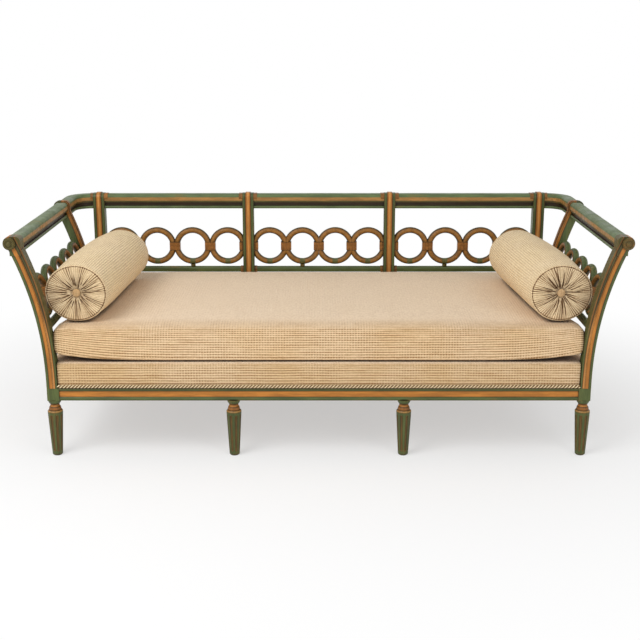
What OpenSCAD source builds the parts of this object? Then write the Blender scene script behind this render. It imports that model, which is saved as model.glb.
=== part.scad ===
// Three-bay daybed settee with ring fretwork, a loose seat cushion and two bolsters.
// X runs along the length, -Y is the front, Z is up, the feet stand on Z = 0.

/* [Overall] */
// Distance between the centres of the corner legs, side to side
span_x = 1906; // [1700:2:2100]
// Distance from the front leg line to the back post line
span_y = 1022; // [940:2:1100]
// Distance between the centres of the two middle legs
mid_span = 614; // [520:2:700]
// Height of the underside of the seat rails
leg_h = 211; // [170:1:260]
// How far the arm rails lie outside the line of the corner legs
arm_out = 84; // [70:1:110]

/* [Seat frame] */
// Height of the moulded part of a seat rail
rail_face_h = 47; // [40:1:60]
// Height of the plain part of a seat rail above the mouldings
rail_rise = 42; // [34:1:50]
// Thickness of a seat rail
rail_t = 32; // [28:1:36]
// Depth of the rebate that the deck cover is tacked in
rebate = 10; // [8:0.5:11]
// Radius of the bead along the bottom of a seat rail
foot_bead_r = 7; // [5:0.5:8]
// Radius of the bead along the top of a seat rail
top_bead_r = 5.5; // [4:0.5:6.5]
// How far the beads stand out from the flat of a seat rail
bead_out = 3; // [1:0.5:4]
// Width of the square block at a corner leg
block_w = 43; // [40:1:48]
// How far a block stands out from the flat of the seat rails
block_out = 4.5; // [3:0.5:6]
// Length of the tenons of the seat rails
tenon_l = 10; // [6:0.5:11]
// Thickness of a tenon
tenon_t = 14; // [10:1:16]
// Width of a cross rail
cross_w = 32; // [24:1:40]
// Height of a cross rail
cross_h = 60; // [50:1:70]
// Leg of the triangle of a corner brace
brace_leg = 70; // [55:1:90]
// Height of a corner brace
brace_h = 40; // [30:1:50]
// How far a corner brace is cut off along each rail to clear the post
brace_cut = 18; // [17:1:22]

/* [Legs] */
// Diameter of a leg shaft at its top
leg_top_d = 54; // [46:1:60]
// Diameter of a leg shaft at its foot
leg_foot_d = 37; // [30:1:42]
// Diameter of the neck above the collar
leg_neck_d = 32; // [26:1:36]
// Diameter of the ring above the shaft
leg_ring_d = 43; // [38:1:48]
// Height of the fluted shaft with its foot
leg_shaft_h = 172; // [140:1:180]
// Number of flutes round a leg
flute_n = 8; // [6:1:12]
// Radius of a flute
flute_r = 5.2; // [3:0.1:6]
// Diameter of the dowel on top of a leg
dowel_d = 16; // [12:1:18]
// Length of the dowel on top of a leg
dowel_l = 30; // [20:1:36]

/* [Posts] */
// Width of a back post
back_post_w = 48; // [42:1:54]
// Depth of a back post, front to back
back_post_d = 44; // [40:1:48]
// Depth of an arm post, front to back
arm_post_d = 44; // [38:1:50]
// Width of an arm post at its foot, seen from the front
arm_post_foot_w = 38; // [34:1:42]
// Width of an arm post at its head, seen from the front
arm_post_head_w = 46; // [40:1:52]
// Power of the outward curve of the arm posts
sabre_power = 2.2; // [1.8:0.1:2.6]
// Distance from the front leg line to the rear arm post line
arm_post_y = 789; // [740:1:800]
// Width of the raised band on a post
band_w = 20; // [14:1:24]
// How far the raised band stands out
band_out = 3; // [1:0.5:4]
// How far a post head stands out round the rail
head_out = 3; // [2:0.5:4]

/* [Top rail] */
// Width of the top rail, inside to outside
crest_w = 55; // [50:1:60]
// Height of the top rail
crest_h = 63; // [58:1:70]
// Radius of the outer bead of the top rail
crest_bead_r = 21; // [17:0.5:22]
// Radius of the inner lip of the top rail
crest_lip_r = 14; // [10:0.5:15]
// Height of the flat band under the lip
crest_band_h = 14; // [10:0.5:16]
// Height of the small step under the band
crest_step_h = 7; // [4:0.5:9]
// Depth of the small step
crest_step = 2.5; // [1:0.5:4]
// Depth of the cove
crest_cove = 12; // [8:0.5:14]
// Radius of the beads along the bottom of the top rail
crest_foot_r = 6.5; // [5:0.5:7]
// How far the outer bottom bead lies inside the outer bead
crest_foot_in = 22; // [3:0.5:24]
// Gap from the tops of the rings to the top rail
crest_gap = 84; // [60:1:110]
// Width of a collar on the top rail
collar_w = 15; // [8:1:20]
// Thickness of a collar
collar_t = 2; // [1:0.5:3]
// Depth of the housing of an arm rail in the front post
housing = 12; // [6:1:16]

/* [Roundels] */
// Radius of a roundel
roundel_r = 21; // [16:0.5:24]
// Thickness of a roundel
roundel_t = 20; // [10:1:26]
// Diameter of the spigot of a roundel
spigot_d = 10; // [6:1:12]
// Length of the spigot of a roundel
spigot_l = 8; // [5:1:10]

/* [Fretwork] */
// Outer radius of a ring
ring_r = 82; // [70:1:90]
// Thickness of the ring stock
ring_t = 26; // [18:1:30]
// Gap from the hole of an end ring to its post
ring_end = 12; // [6:1:16]
// Rings in each back bay
back_rings = 4; // [3:1:4]
// Rings in each arm
arm_rings = 5; // [4:1:5]
// Width of a tie between two rings
tie_w = 45; // [40:1:48]
// Height of a tie between two rings
tie_h = 37; // [30:1:44]
// Radius of the reeds of a tie
reed_r = 6.5; // [5:0.5:6.5]
// Thickness of a tie over the rings that it binds
tie_skin = 1.5; // [1:0.1:3]
// How far the reeds stand out from a tie
reed_out = 1.5; // [0.5:0.1:3]
// Width of the part tie between an end ring and its post
end_tie_w = 17; // [14:1:18]
// How far the ring line lies inside the outer face of an arm post
ring_inset = 17; // [15:0.5:20]
// Height of a stub under a ring
stub_h = 9; // [6:0.5:14]
// Diameter of a stub under a ring
stub_d = 20; // [10:1:20]
// Width of a lower rail
low_rail_w = 22; // [18:1:26]
// Height of a lower rail
low_rail_h = 24; // [18:1:28]
// How far a lower rail is housed in a post
low_housing = 6; // [3:1:8]
// Height of the lower rails above the seat deck
low_rail_lift = 112; // [90:1:130]
// Width of a collar on a lower rail
low_collar_w = 12; // [6:1:16]

/* [Seat deck] */
// Height of the deck above the seat rails
deck_h = 50; // [40:1:60]
// Thickness of the deck cover and its wadding
cover_t = 6; // [4:0.5:7]
// Radius of the deck's upper edges
deck_edge_r = 18; // [10:1:22]
// Diameter of the gimp cord
gimp_d = 12; // [6:0.5:14]
// Width of a webbing strap
strap_w = 60; // [50:1:70]
// Thickness of a webbing strap
strap_t = 2; // [1.5:0.1:3]
// Straps running front to back
strap_n_y = 12; // [10:2:12]
// Straps running side to side
strap_n_x = 6; // [4:1:7]
// Thickness of the hessian
hessian_t = 1.5; // [1:0.1:2]

/* [Seat cushion] */
// How far each end of the seat cushion stands past the deck beneath it
cushion_over = 6; // [0:0.5:6]
// Gap between the cushion's back edge and the back edge of the deck
cushion_back_gap = 14; // [2:1:40]
// Height of the seat cushion at its edges
cushion_h = 124; // [100:1:150]
// Rise of the cushion's crown
crown = 12; // [4:1:20]
// Distance from the edge over which the crown rises
crown_run = 300; // [200:10:400]
// Radius of the cushion's corners, seen from above
cushion_corner_r = 24; // [20:1:60]
// How far the long sides draw in at their middle
draw_in = 6; // [0:1:15]
// How far the cushion's bottom corners lift
corner_lift = 40; // [0:1:50]
// Depth of the rolled edges of the cushion
edge_roll = 30; // [20:1:40]

/* [Bolsters] */
// Radius of a bolster at its ends
bolster_r = 103.5; // [90:0.5:105]
// How much fatter a bolster is in its middle
bolster_bulge = 10; // [0:0.5:12]
// Length of a bolster
bolster_l = 720; // [640:2:780]
// Distance from the seat's end to the centre line of a bolster, at its front end
bolster_inset = 84; // [80:1:110]
// Turn of a bolster, its front end outwards, in degrees
bolster_turn = 3.8; // [0:0.1:4.5]
// Distance from the cushion's front edge to the front end of a bolster
bolster_front_gap = 66; // [20:1:80]
// Pleats in a bolster end
pleat_n = 22; // [16:1:30]
// Depth of the pleats
pleat_d = 2.4; // [0:0.1:4]
// How far the button draws a bolster end in
tuft_d = 12; // [4:1:16]
// Radius of the welt cord round a bolster end
welt_r = 3; // [2:0.1:4]
// Radius of a covered button
button_r = 15; // [10:0.5:20]
// Thickness of a covered button
button_t = 9; // [6:0.5:14]

/* [Hidden] */
$fn = 64;
// Clearance in glued and sliding wood joints
fit = 0.2;
// Gap under a soft piece that rests on another
rest = 0.3;
// Overrun of a cut
over = 1;
// Overrun used to join two shapes of one piece
bite = 2;
// Clearance of the deck cover round the posts
cover_gap = 1.5;
green = "#5f7350";
orange = "#c38246";
ochre = "#8f6236";
cream = "#dcc49a";
jute = "#b59a6a";

half_x = span_x / 2;
mid_x = mid_span / 2;
// The front line stands so that the whole piece is centred on the origin.
front_face = arm_post_d / 2 + roundel_t;
back_inner = span_y - back_post_d / 2 + head_out;
back_outer = back_inner + crest_w + head_out + band_out;
y0 = (front_face - back_outer) / 2;
y_back = y0 + span_y;
y_arm = y0 + arm_post_y;
y_crest = y0 + back_inner;

deck_z = leg_h + rail_face_h;
rail_top = deck_z + rail_rise;
deck_top = rail_top + deck_h;
low_z = deck_top + low_rail_lift;
low_top = low_z + low_rail_h;
ring_z = low_top + stub_h + ring_r;
crest_z = ring_z + ring_r + crest_gap;
hole_r = ring_r - ring_t;

crest_x = half_x + arm_out;
// The rounded corners run from the outer back posts' faces to the arm rails.
bend_x = half_x + back_post_w / 2;
corner_r = crest_x - bend_x;
bead_u = crest_w - crest_bead_r;
bead_v = crest_h - crest_bead_r;
lip_v = crest_h - crest_lip_r;
band_v = lip_v - crest_band_h;
step_v = band_v - crest_step_h;
foot_u = crest_w - crest_foot_in - crest_foot_r;

// The flat of the front and side seat rails lies just inside the block's face.
rail_front = y0 - block_w / 2 + block_out;
rail_side = half_x + block_w / 2 - block_out;
rail_rear = y_back + back_post_d / 2 - block_out;
side_rail_end = y_back - back_post_d / 2;
rear_rail_half = half_x - back_post_w / 2;
front_rail_half = half_x - block_w / 2;
tenon_off = rebate + (rail_t - rebate - tenon_t) / 2;
tenon_drop = foot_bead_r * 2;

sabre_foot = deck_z;
sabre_head = crest_z + crest_h / 3;
sabre_steps = 18;
sabre_base = half_x + block_w / 2;
sabre_flare = crest_x + crest_w * 3 / 4 - sabre_base;
// Front face of an arm post, as shares of its width: edge, band, groove and ridge
sabre_band_shares = [0.24, 0.64];
sabre_crown_shares = [0.31, 0.57];
sabre_ridge_shares = [0.86, 1];

cover_front = rail_front + rebate - cover_t;
cover_side = rail_side - rebate + cover_t;
cover_rear = y_back - back_post_d / 2 - band_out - cover_gap * 2;
cover_inner = half_x + block_w / 2 - arm_post_foot_w - cover_gap;

cushion_z = deck_top + rest;
cushion_front = cover_front + cover_t / 2;
cushion_back = cover_rear - cushion_back_gap;
cushion_w = 2 * (cover_inner + cushion_over);
cushion_d = cushion_back - cushion_front;
cushion_y = cushion_front + cushion_d / 2;
cushion_top = cushion_z + cushion_h;

// Axis-aligned box between two corners
module block(a, b) {
    translate(a) cube(b - a);
}

// Mirror image for the left side
module left_side() {
    mirror([1, 0, 0]) children();
}

module both_sides() {
    children();
    left_side() children();
}

// Rectangle between two corners
module rect(a, b) {
    translate(a) square(b - a);
}

// Cross-section of the top rail: u runs outwards from the inner face, v runs up.
// The value g grows it all round.
module crest_section(g = 0) {
    translate([crest_lip_r, lip_v]) circle(r = crest_lip_r + g);
    translate([bead_u, bead_v]) circle(r = crest_bead_r + g);
    rect([crest_lip_r, bead_v], [bead_u, crest_h + g]);
    rect([-g, band_v - g], [bead_u, lip_v]);
    rect([crest_step - g, step_v - g], [bead_u, band_v]);
    rect([crest_cove - g, crest_foot_r], [foot_u + g, bead_v]);
    translate([crest_step + crest_foot_r, crest_foot_r]) circle(r = crest_foot_r + g);
    translate([foot_u, crest_foot_r]) circle(r = crest_foot_r + g);
    rect([crest_step + crest_foot_r, -g], [foot_u, 2 * crest_foot_r + g]);
}

// Outline of a post head round the top rail, closed over the cove
module head_section(g) {
    translate([crest_lip_r, lip_v]) circle(r = crest_lip_r + g);
    translate([bead_u, bead_v]) circle(r = crest_bead_r + g);
    rect([crest_lip_r, bead_v], [bead_u, crest_h + g]);
    rect([-g, -bite], [bead_u, lip_v]);
    rect([0, -bite], [foot_u + crest_foot_r + g, bead_v - crest_bead_r / 2]);
}

// Sweeps a section of u and v along X, u towards the back
module along_x(x1, x2, y, z) {
    translate([x1, y, z]) rotate([90, 0, 90]) linear_extrude(x2 - x1) children();
}

// Sweeps a section along Y, its first axis towards +X
module along_y(y1, y2, x, z) {
    translate([x, y2, z]) rotate([90, 0, 0]) linear_extrude(y2 - y1) children();
}

// Sweeps a section of the top rail round the right corner, from the arm side
module round_corner(from, to) {
    translate([crest_x - corner_r, y_crest - corner_r, crest_z]) rotate([0, 0, from])
        rotate_extrude(angle = to - from) translate([corner_r, 0]) children();
}

// X of the outer face of an arm post at the height z
function sabre_rise(z) = max(0, z - sabre_foot) / (sabre_head - sabre_foot);
function sabre_x(z) = sabre_base + sabre_flare * pow(sabre_rise(z), sabre_power);
function sabre_w(z) = arm_post_foot_w
    + (arm_post_head_w - arm_post_foot_w) * pow(sabre_rise(z), 2);

// Strip of an arm post's outline between two shares of its width, grown by g
module sabre_strip(from_share, to_share, z1, z2, g = 0) {
    heights = [for (k = [0 : sabre_steps]) z1 + (z2 - z1) * k / sabre_steps];
    outer = [for (z = heights) [sabre_x(z) - sabre_w(z) * from_share + g, z]];
    inner = [for (z = heights) [sabre_x(z) - sabre_w(z) * to_share - g, z]];
    polygon(concat(outer, [for (k = [sabre_steps : -1 : 0]) inner[k]]));
}

module arm_rail_line(y1, y2, g = 0) {
    along_y(y1, y2, crest_x, crest_z) crest_section(g);
}

module arm_head(y1, y2, g) {
    along_y(y1, y2, crest_x, crest_z) head_section(g);
}

// Tenons of the seat rails, grown by g, which the mortises follow
module front_rail_tenons(g = 0) {
    both_sides() block(
        [front_rail_half - bite, rail_front + tenon_off - g, leg_h + tenon_drop - g],
        [front_rail_half + tenon_l + g, rail_front + tenon_off + tenon_t + g,
            rail_top - tenon_drop + g]);
}

module rear_rail_tenons(g = 0) {
    both_sides() block(
        [rear_rail_half - bite, rail_rear - tenon_off - tenon_t - g, leg_h + tenon_drop - g],
        [rear_rail_half + tenon_l + g, rail_rear - tenon_off + g, rail_top - tenon_drop + g]);
}

module side_rail_tenons(g = 0) {
    block(
        [rail_side - tenon_off - tenon_t - g, y0 + block_w / 2 - tenon_l - g,
            leg_h + tenon_drop - g],
        [rail_side - tenon_off + g, side_rail_end + tenon_l + g, rail_top - tenon_drop + g]);
}

// Tenons of the cross rails in the front and rear seat rails
module cross_rail_tenons(g = 0) {
    for (x = [-mid_x, mid_x]) block(
        [x - tenon_t / 2 - g, rail_front + rail_t - tenon_l - g,
            rail_top - cross_h + tenon_drop - g],
        [x + tenon_t / 2 + g, rail_rear - rail_t + tenon_l + g, rail_top - tenon_drop + g]);
}

// Tenons under the inner back posts
module post_tenons(g = 0) {
    for (x = [-mid_x, mid_x]) block(
        [x - tenon_t - g, rail_rear - rail_t / 2 - tenon_t / 2 - g,
            rail_top - tenon_drop + bite - g],
        [x + tenon_t + g, rail_rear - rail_t / 2 + tenon_t / 2 + g, rail_top + bite]);
}

// Dowels on top of the legs
module dowel(x, y, g = 0) {
    translate([x, y, leg_h - g]) cylinder(d = dowel_d + 2 * g, h = dowel_l + 2 * g);
}

// Moulded section of a seat rail: t runs inwards from the flat, z runs up.
module rail_section(rebate_d) {
    rect([0, 0], [rail_t, rail_face_h]);
    rect([rebate_d, 0], [rail_t, rail_face_h + rail_rise]);
    translate([foot_bead_r - bead_out, foot_bead_r]) circle(r = foot_bead_r);
    translate([top_bead_r - bead_out, rail_face_h - top_bead_r]) circle(r = top_bead_r);
}

// Screws of the corner braces, grown by g
brace_z = leg_h + rail_face_h / 2;
screw_d = 4.5;
screw_head_d = 9;
screw_head_t = 3;
screw_bite = 10;
screw_rise = brace_h / 2;
brace_hold = 22;

// One corner brace and its two screws, drawn at a corner with sides along +X and +Y
module brace_shape() {
    linear_extrude(brace_h) polygon([[brace_cut, fit], [brace_leg, fit],
        [brace_leg, brace_hold / 2], [brace_hold / 2, brace_leg], [fit, brace_leg],
        [fit, brace_cut]]);
}

module screw_shape(g = 0) {
    translate([0, -screw_bite - g, 0]) rotate([-90, 0, 0])
        cylinder(d = screw_d + 2 * g, h = screw_bite + brace_hold + 2 * g);
    translate([0, brace_hold - g, 0]) rotate([-90, 0, 0])
        cylinder(d = screw_head_d + 2 * g, h = screw_head_t + g);
}

module brace_screw_pair(g = 0) {
    translate([brace_leg / 2 - screw_head_d / 2, 0, screw_rise]) screw_shape(g);
    mirror([1, -1, 0]) translate([brace_leg / 2 - screw_head_d / 2, 0, screw_rise - screw_head_d])
        screw_shape(g);
}

module screw_pocket() {
    translate([brace_leg / 2 - screw_head_d / 2, brace_hold, screw_rise]) rotate([-90, 0, 0])
        cylinder(d = screw_head_d + 2 * fit, h = brace_leg);
    mirror([1, -1, 0])
        translate([brace_leg / 2 - screw_head_d / 2, brace_hold, screw_rise - screw_head_d])
            rotate([-90, 0, 0]) cylinder(d = screw_head_d + 2 * fit, h = brace_leg);
}

// Places children at the four inner corners of the seat frame
module at_corners() {
    both_sides() {
        translate([-(rail_side - rail_t), rail_front + rail_t, brace_z]) children();
        translate([-(rail_side - rail_t), rail_rear - rail_t, brace_z]) mirror([0, 1, 0])
            children();
    }
}

module all_brace_screws(g = 0) {
    at_corners() brace_screw_pair(g);
}

// Square block and outcurved post in one piece, with the head that holds the arm rail
module front_post() {
    color(green) difference() {
        union() {
            block([half_x - block_w / 2, y0 - block_w / 2, leg_h],
                [half_x + block_w / 2, y0 + block_w / 2, deck_z]);
            block([half_x - block_w / 2, rail_front + rebate, deck_z - bite],
                [rail_side - rebate, y0 + block_w / 2, rail_top]);
            along_y(y0 - arm_post_d / 2, y0 + arm_post_d / 2, 0, 0)
                sabre_strip(0, 1, sabre_foot, sabre_head);
            along_y(y0 - arm_post_d / 2 - band_out / 2, y0, 0, 0)
                sabre_strip(sabre_band_shares[0], sabre_band_shares[1], sabre_foot, sabre_head);
            along_y(y0 - arm_post_d / 2 - band_out, y0, 0, 0)
                sabre_strip(sabre_crown_shares[0], sabre_crown_shares[1], sabre_foot, sabre_head);
            along_y(y0 - arm_post_d / 2 - band_out / 2, y0, 0, 0)
                sabre_strip(sabre_ridge_shares[0], sabre_ridge_shares[1], sabre_foot, sabre_head);
            arm_head(y0 - arm_post_d / 2 - band_out, y0 + arm_post_d / 2, head_out);
        }
        arm_rail_line(y0 + arm_post_d / 2 - housing - fit, y0 + arm_post_d / 2 + over, fit);
        front_rail_tenons(fit);
        side_rail_tenons(fit);
        dowel(half_x, y0, fit);
        roundel_spigot(fit);
        low_arm_rail_bar(fit);
    }
}

// Outcurved post that laps the side seat rail and carries the arm rail through its head
module arm_post() {
    y1 = y_arm - arm_post_d / 2;
    y2 = y_arm + arm_post_d / 2;
    color(green) difference() {
        union() {
            along_y(y1, y2, 0, 0) sabre_strip(0, 1, sabre_foot, sabre_head);
            along_y(y_arm - band_w / 2, y_arm + band_w / 2, 0, 0)
                sabre_strip(sabre_crown_shares[1], 1, low_z, sabre_head, band_out);
            arm_head(y1, y2, head_out);
            arm_head(y_arm - band_w / 2, y_arm + band_w / 2, head_out + band_out);
        }
        arm_rail_line(y1 - over, y2 + over, fit);
        round_corner(0, 90) crest_section(fit);
        block([half_x - block_w, y1 - over, sabre_foot - over],
            [rail_side - rebate + fit, y2 + over, rail_top]);
        low_arm_rail_bar(fit);
    }
}

// Straight back post, centred on X = 0, with a raised band and a head round the top rail
module back_post_body(z1) {
    y1 = y_back - back_post_d / 2;
    w = back_post_w;
    block([-w / 2, y1, z1], [w / 2, y1 + back_post_d, crest_z]);
    along_x(-band_w / 2, band_w / 2, y1, 0) rect([-band_out, deck_top + cover_t],
        [bite, crest_z + lip_v]);
}

module back_head(x1, x2, g) {
    along_x(x1, x2, y_crest, crest_z) head_section(g);
}

module inner_back_post() {
    w = back_post_w;
    color(green) difference() {
        union() {
            translate([mid_x, 0, 0]) back_post_body(rail_top);
            intersection() {
                post_tenons();
                block([0, y0, 0], [half_x, y0 + back_outer, crest_z]);
            }
            back_head(mid_x - w / 2, mid_x + w / 2, head_out);
            back_head(mid_x - band_w / 2, mid_x + band_w / 2, head_out + band_out);
        }
        along_x(mid_x - w, mid_x + w, y_crest, crest_z) crest_section(fit);
        low_back_rail_bar(fit);
    }
}

module outer_back_post() {
    w = back_post_w;
    color(green) difference() {
        union() {
            translate([half_x, 0, 0]) back_post_body(leg_h);
            back_head(half_x - w / 2, half_x + w / 2, head_out);
            back_head(half_x - band_w / 2, half_x + band_w / 2, head_out + band_out);
        }
        along_x(half_x - w, half_x + w, y_crest, crest_z) crest_section(fit);
        rear_rail_tenons(fit);
        side_rail_tenons(fit);
        dowel(half_x, y_back, fit);
        low_back_rail_bar(fit);
    }
}

module back_top_rail() {
    color(green) along_x(-bend_x, bend_x, y_crest, crest_z) crest_section();
}

module corner_rail() {
    color(green) round_corner(0, 90) crest_section();
}

module arm_rail() {
    color(green) arm_rail_line(y0 + arm_post_d / 2 - housing, y_crest - corner_r);
}

// Turned disc with raised rings on the front of the arm
roundel_steps_shares = [[0, 1], [0.62, 1], [0.62, 0.88], [0.78, 0.84], [0.78, 0.66],
    [0.68, 0.6], [0.68, 0.46], [0.84, 0.4], [0.9, 0.24], [1, 0.16], [1, 0]];

module roundel_spigot(g = 0) {
    translate([crest_x + bead_u, y0 - front_face + roundel_t - band_out - g, crest_z + bead_v])
        rotate([-90, 0, 0]) cylinder(d = spigot_d + 2 * g, h = spigot_l + band_out + 2 * g);
}

module roundel() {
    t = roundel_t - band_out;
    color(orange) union() {
        translate([crest_x + bead_u, y0 - arm_post_d / 2 - band_out, crest_z + bead_v])
            rotate([90, 0, 0]) rotate_extrude()
                polygon(concat([[0, 0]], [for (s = roundel_steps_shares)
                    [s[1] * roundel_r, s[0] * t]]));
        roundel_spigot();
    }
}

// Section of a lower rail, its top rounded
module low_section(g = 0) {
    r = low_rail_w / 2;
    translate([0, low_rail_h - r]) circle(r = r + g);
    rect([-r - g, -g], [r + g, low_rail_h - r]);
}

low_y = y_back;
low_arm_x = sabre_x(low_z) - ring_inset;

module low_back_rail_bar(g = 0) {
    along_x(-half_x + back_post_w / 2 - low_housing - g, half_x - back_post_w / 2 + low_housing + g,
        low_y, low_z) low_section(g);
}

module low_arm_rail_bar(g = 0) {
    along_y(y0 + arm_post_d / 2 - low_housing - g, y_arm - arm_post_d / 2 + low_housing + g,
        low_arm_x, low_z) low_section(g);
}

module centre_lower_back_rail() {
    x = mid_x - back_post_w / 2 + low_housing;
    color(green) along_x(-x, x, low_y, low_z) low_section();
}

module side_lower_back_rail() {
    color(green) along_x(mid_x + back_post_w / 2 - low_housing,
        half_x - back_post_w / 2 + low_housing, low_y, low_z) low_section();
}

// A row of n rings between 0 and l along X, standing on the XZ plane through the origin
function ring_pitch(l, n) = (l - 2 * (hole_r + ring_end)) / (n - 1);
function ring_x(l, n, k) = ring_end + hole_r + k * ring_pitch(l, n);

module ring_tube(x, g = 0) {
    translate([x, 0, 0]) rotate([90, 0, 0]) rotate_extrude()
        translate([ring_r - ring_t / 2, 0]) circle(d = ring_t + 2 * g);
}

// Each ring is flattened where it meets the next ring or a post.
module ring_row(l, n) {
    reach = (ring_pitch(l, n) - fit) / 2;
    for (k = [0 : n - 1]) intersection() {
        ring_tube(ring_x(l, n, k));
        block([max(0, ring_x(l, n, k) - reach), -ring_t, -ring_r - over],
            [min(l, ring_x(l, n, k) + reach), ring_t, ring_r + over]);
    }
}

// Block with three reeds on each face, bound round the sides of two rings
module tie(x, w = tie_w) {
    face = ring_t / 2 + tie_skin;
    translate([x, 0, -tie_h / 2]) linear_extrude(tie_h) {
        rect([-w / 2, -face], [w / 2, face]);
        for (side = [-1, 1], j = [-1 : 1])
            translate([j * 2 * reed_r, side * (face + reed_out - reed_r)]) circle(r = reed_r);
    }
}

// Ties between the rings, wide enough to close round both, and a part tie at each post
module tie_row(l, n) {
    w = max(tie_w, ring_pitch(l, n) - 2 * (ring_r - ring_t - tie_skin));
    difference() {
        union() {
            for (k = [1 : n - 1]) tie(ring_x(l, n, k) - ring_pitch(l, n) / 2, w);
            intersection() {
                union() {
                    tie(end_tie_w - tie_w / 2);
                    tie(l - end_tie_w + tie_w / 2);
                }
                block([0, -tie_w, -tie_h], [l, tie_w, tie_h]);
            }
        }
        for (k = [0 : n - 1]) ring_tube(ring_x(l, n, k), fit);
    }
}

centre_l = mid_span - back_post_w;
bay_l = half_x - mid_x - back_post_w;
arm_l = arm_post_y - arm_post_d;

module in_centre_bay() {
    translate([-centre_l / 2, y_back, ring_z]) children();
}

module in_side_bay() {
    translate([mid_x + back_post_w / 2, y_back, ring_z]) children();
}

// The arm rings stand in one flat, leaning plane between the curved posts.
lean_low = sabre_x(ring_z - ring_r) - ring_inset;
lean_high = sabre_x(ring_z + ring_r) - ring_inset;
lean = asin((lean_high - lean_low) / (2 * ring_r));
lean_x = (lean_low + lean_high) / 2;

module in_arm() {
    translate([lean_x, y0 + arm_post_d / 2, ring_z]) rotate([0, lean, 0]) rotate([0, 0, 90])
        children();
}

// Short turned spools that tie a ring to the lower rail
module stub(x, y, z1, z2) {
    translate([x, y, z1]) cylinder(d = stub_d, h = z2 - z1);
}

arm_ring_bottom = ring_z - (ring_r - ring_t / 2) * cos(lean) - ring_t / 2;

module ring_stubs() {
    stub_x = mid_x + back_post_w / 2 + ring_x(bay_l, back_rings, 1);
    color(green) {
        both_sides() stub(stub_x, y_back, low_top, low_top + stub_h);
        stub(-ring_pitch(centre_l, back_rings) / 2, y_back, low_top, low_top + stub_h);
        both_sides() stub(low_arm_x, y0 + arm_post_d / 2 + ring_x(arm_l, arm_rings, 2), low_top,
            arm_ring_bottom);
    }
}

// Saddle-shaped collars over the upper half of the top rail, beside each back post
module collar_shape() {
    difference() {
        crest_section(collar_t);
        crest_section(fit);
        rect([-over - collar_t, -over - collar_t], [crest_w + over + collar_t, bead_v]);
    }
}

collar_angle = collar_w / (corner_r + crest_w / 2) * 180 / PI;

module top_rail_collars() {
    w = back_post_w / 2;
    color(orange) both_sides() {
        along_x(mid_x - w - collar_w, mid_x - w, y_crest, crest_z) collar_shape();
        along_x(mid_x + w, mid_x + w + collar_w, y_crest, crest_z) collar_shape();
        along_x(half_x - w - collar_w, half_x - w, y_crest, crest_z) collar_shape();
        round_corner(90 - collar_angle, 90) collar_shape();
    }
}

module lower_rail_collars() {
    w = back_post_w / 2;
    color(orange) both_sides() {
        for (x = [mid_x - w - low_collar_w, mid_x + w, half_x - w - low_collar_w])
            along_x(x, x + low_collar_w, low_y, low_z) difference() {
                low_section(collar_t);
                low_section(fit);
            }
    }
}

module front_seat_rail() {
    color(orange) difference() {
        union() {
            along_x(-front_rail_half, front_rail_half, rail_front, leg_h) rail_section(rebate);
            front_rail_tenons();
        }
        cross_rail_tenons(fit);
        for (x = [-mid_x, mid_x]) dowel(x, rail_front + rail_t / 2, fit);
        all_brace_screws(fit);
    }
}

module rear_seat_rail() {
    color(green) difference() {
        union() {
            translate([0, rail_rear, 0]) mirror([0, 1, 0])
                along_x(-rear_rail_half, rear_rail_half, 0, leg_h) rail_section(0);
            rear_rail_tenons();
        }
        cross_rail_tenons(fit);
        post_tenons(fit);
        for (x = [-mid_x, mid_x]) dowel(x, rail_rear - rail_t / 2, fit);
        all_brace_screws(fit);
    }
}

module side_seat_rail() {
    color(green) difference() {
        union() {
            difference() {
                translate([rail_side, 0, 0]) mirror([1, 0, 0])
                    along_y(y0 + block_w / 2, side_rail_end, 0, leg_h) rail_section(rebate);
                block([half_x - block_w, y0, deck_z],
                    [rail_side, y0 + arm_post_d / 2, rail_top + over]);
            }
            side_rail_tenons();
        }
        all_brace_screws(fit);
    }
}

module seat_cross_rails() {
    color(green) {
        for (x = [-mid_x, mid_x]) block(
            [x - cross_w / 2, rail_front + rail_t, rail_top - cross_h],
            [x + cross_w / 2, rail_rear - rail_t, rail_top]);
        cross_rail_tenons();
    }
}

module corner_braces() {
    color(jute) at_corners() difference() {
        brace_shape();
        brace_screw_pair(fit);
        screw_pocket();
    }
}

module brace_screws() {
    color("silver") all_brace_screws();
}

// Profile of a leg from the foot up: shaft as shares of its top radius and height, then ring,
// neck and bulb as shares of their own radius and of the height above the shaft
leg_bulb_d = 48;
leg_foot_round = 4;
shaft_shares = [[1, 0.94], [1, 0.98], [0.9, 1]];
ring_shares = [[1, 0.04], [1.02, 0.16], [0.94, 0.3]];
neck_shares = [[1.1, 0.42], [1, 0.52], [1.08, 0.6]];
bulb_shares = [[0.88, 0.74], [1, 0.9], [1, 1]];
function shared(shares, r, z, h) = [for (v = shares) [r * v[0], z + h * v[1]]];
function leg_profile() = let (s = leg_shaft_h, c = leg_h - leg_shaft_h) concat(
    [[0, 0], [leg_foot_d / 2 - leg_foot_round, 0], [leg_foot_d / 2, leg_foot_round]],
    shared(shaft_shares, leg_top_d / 2, 0, s), shared(ring_shares, leg_ring_d / 2, s, c),
    shared(neck_shares, leg_neck_d / 2, s, c), shared(bulb_shares, leg_bulb_d / 2, s, c),
    [[0, s + c]]);

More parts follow.
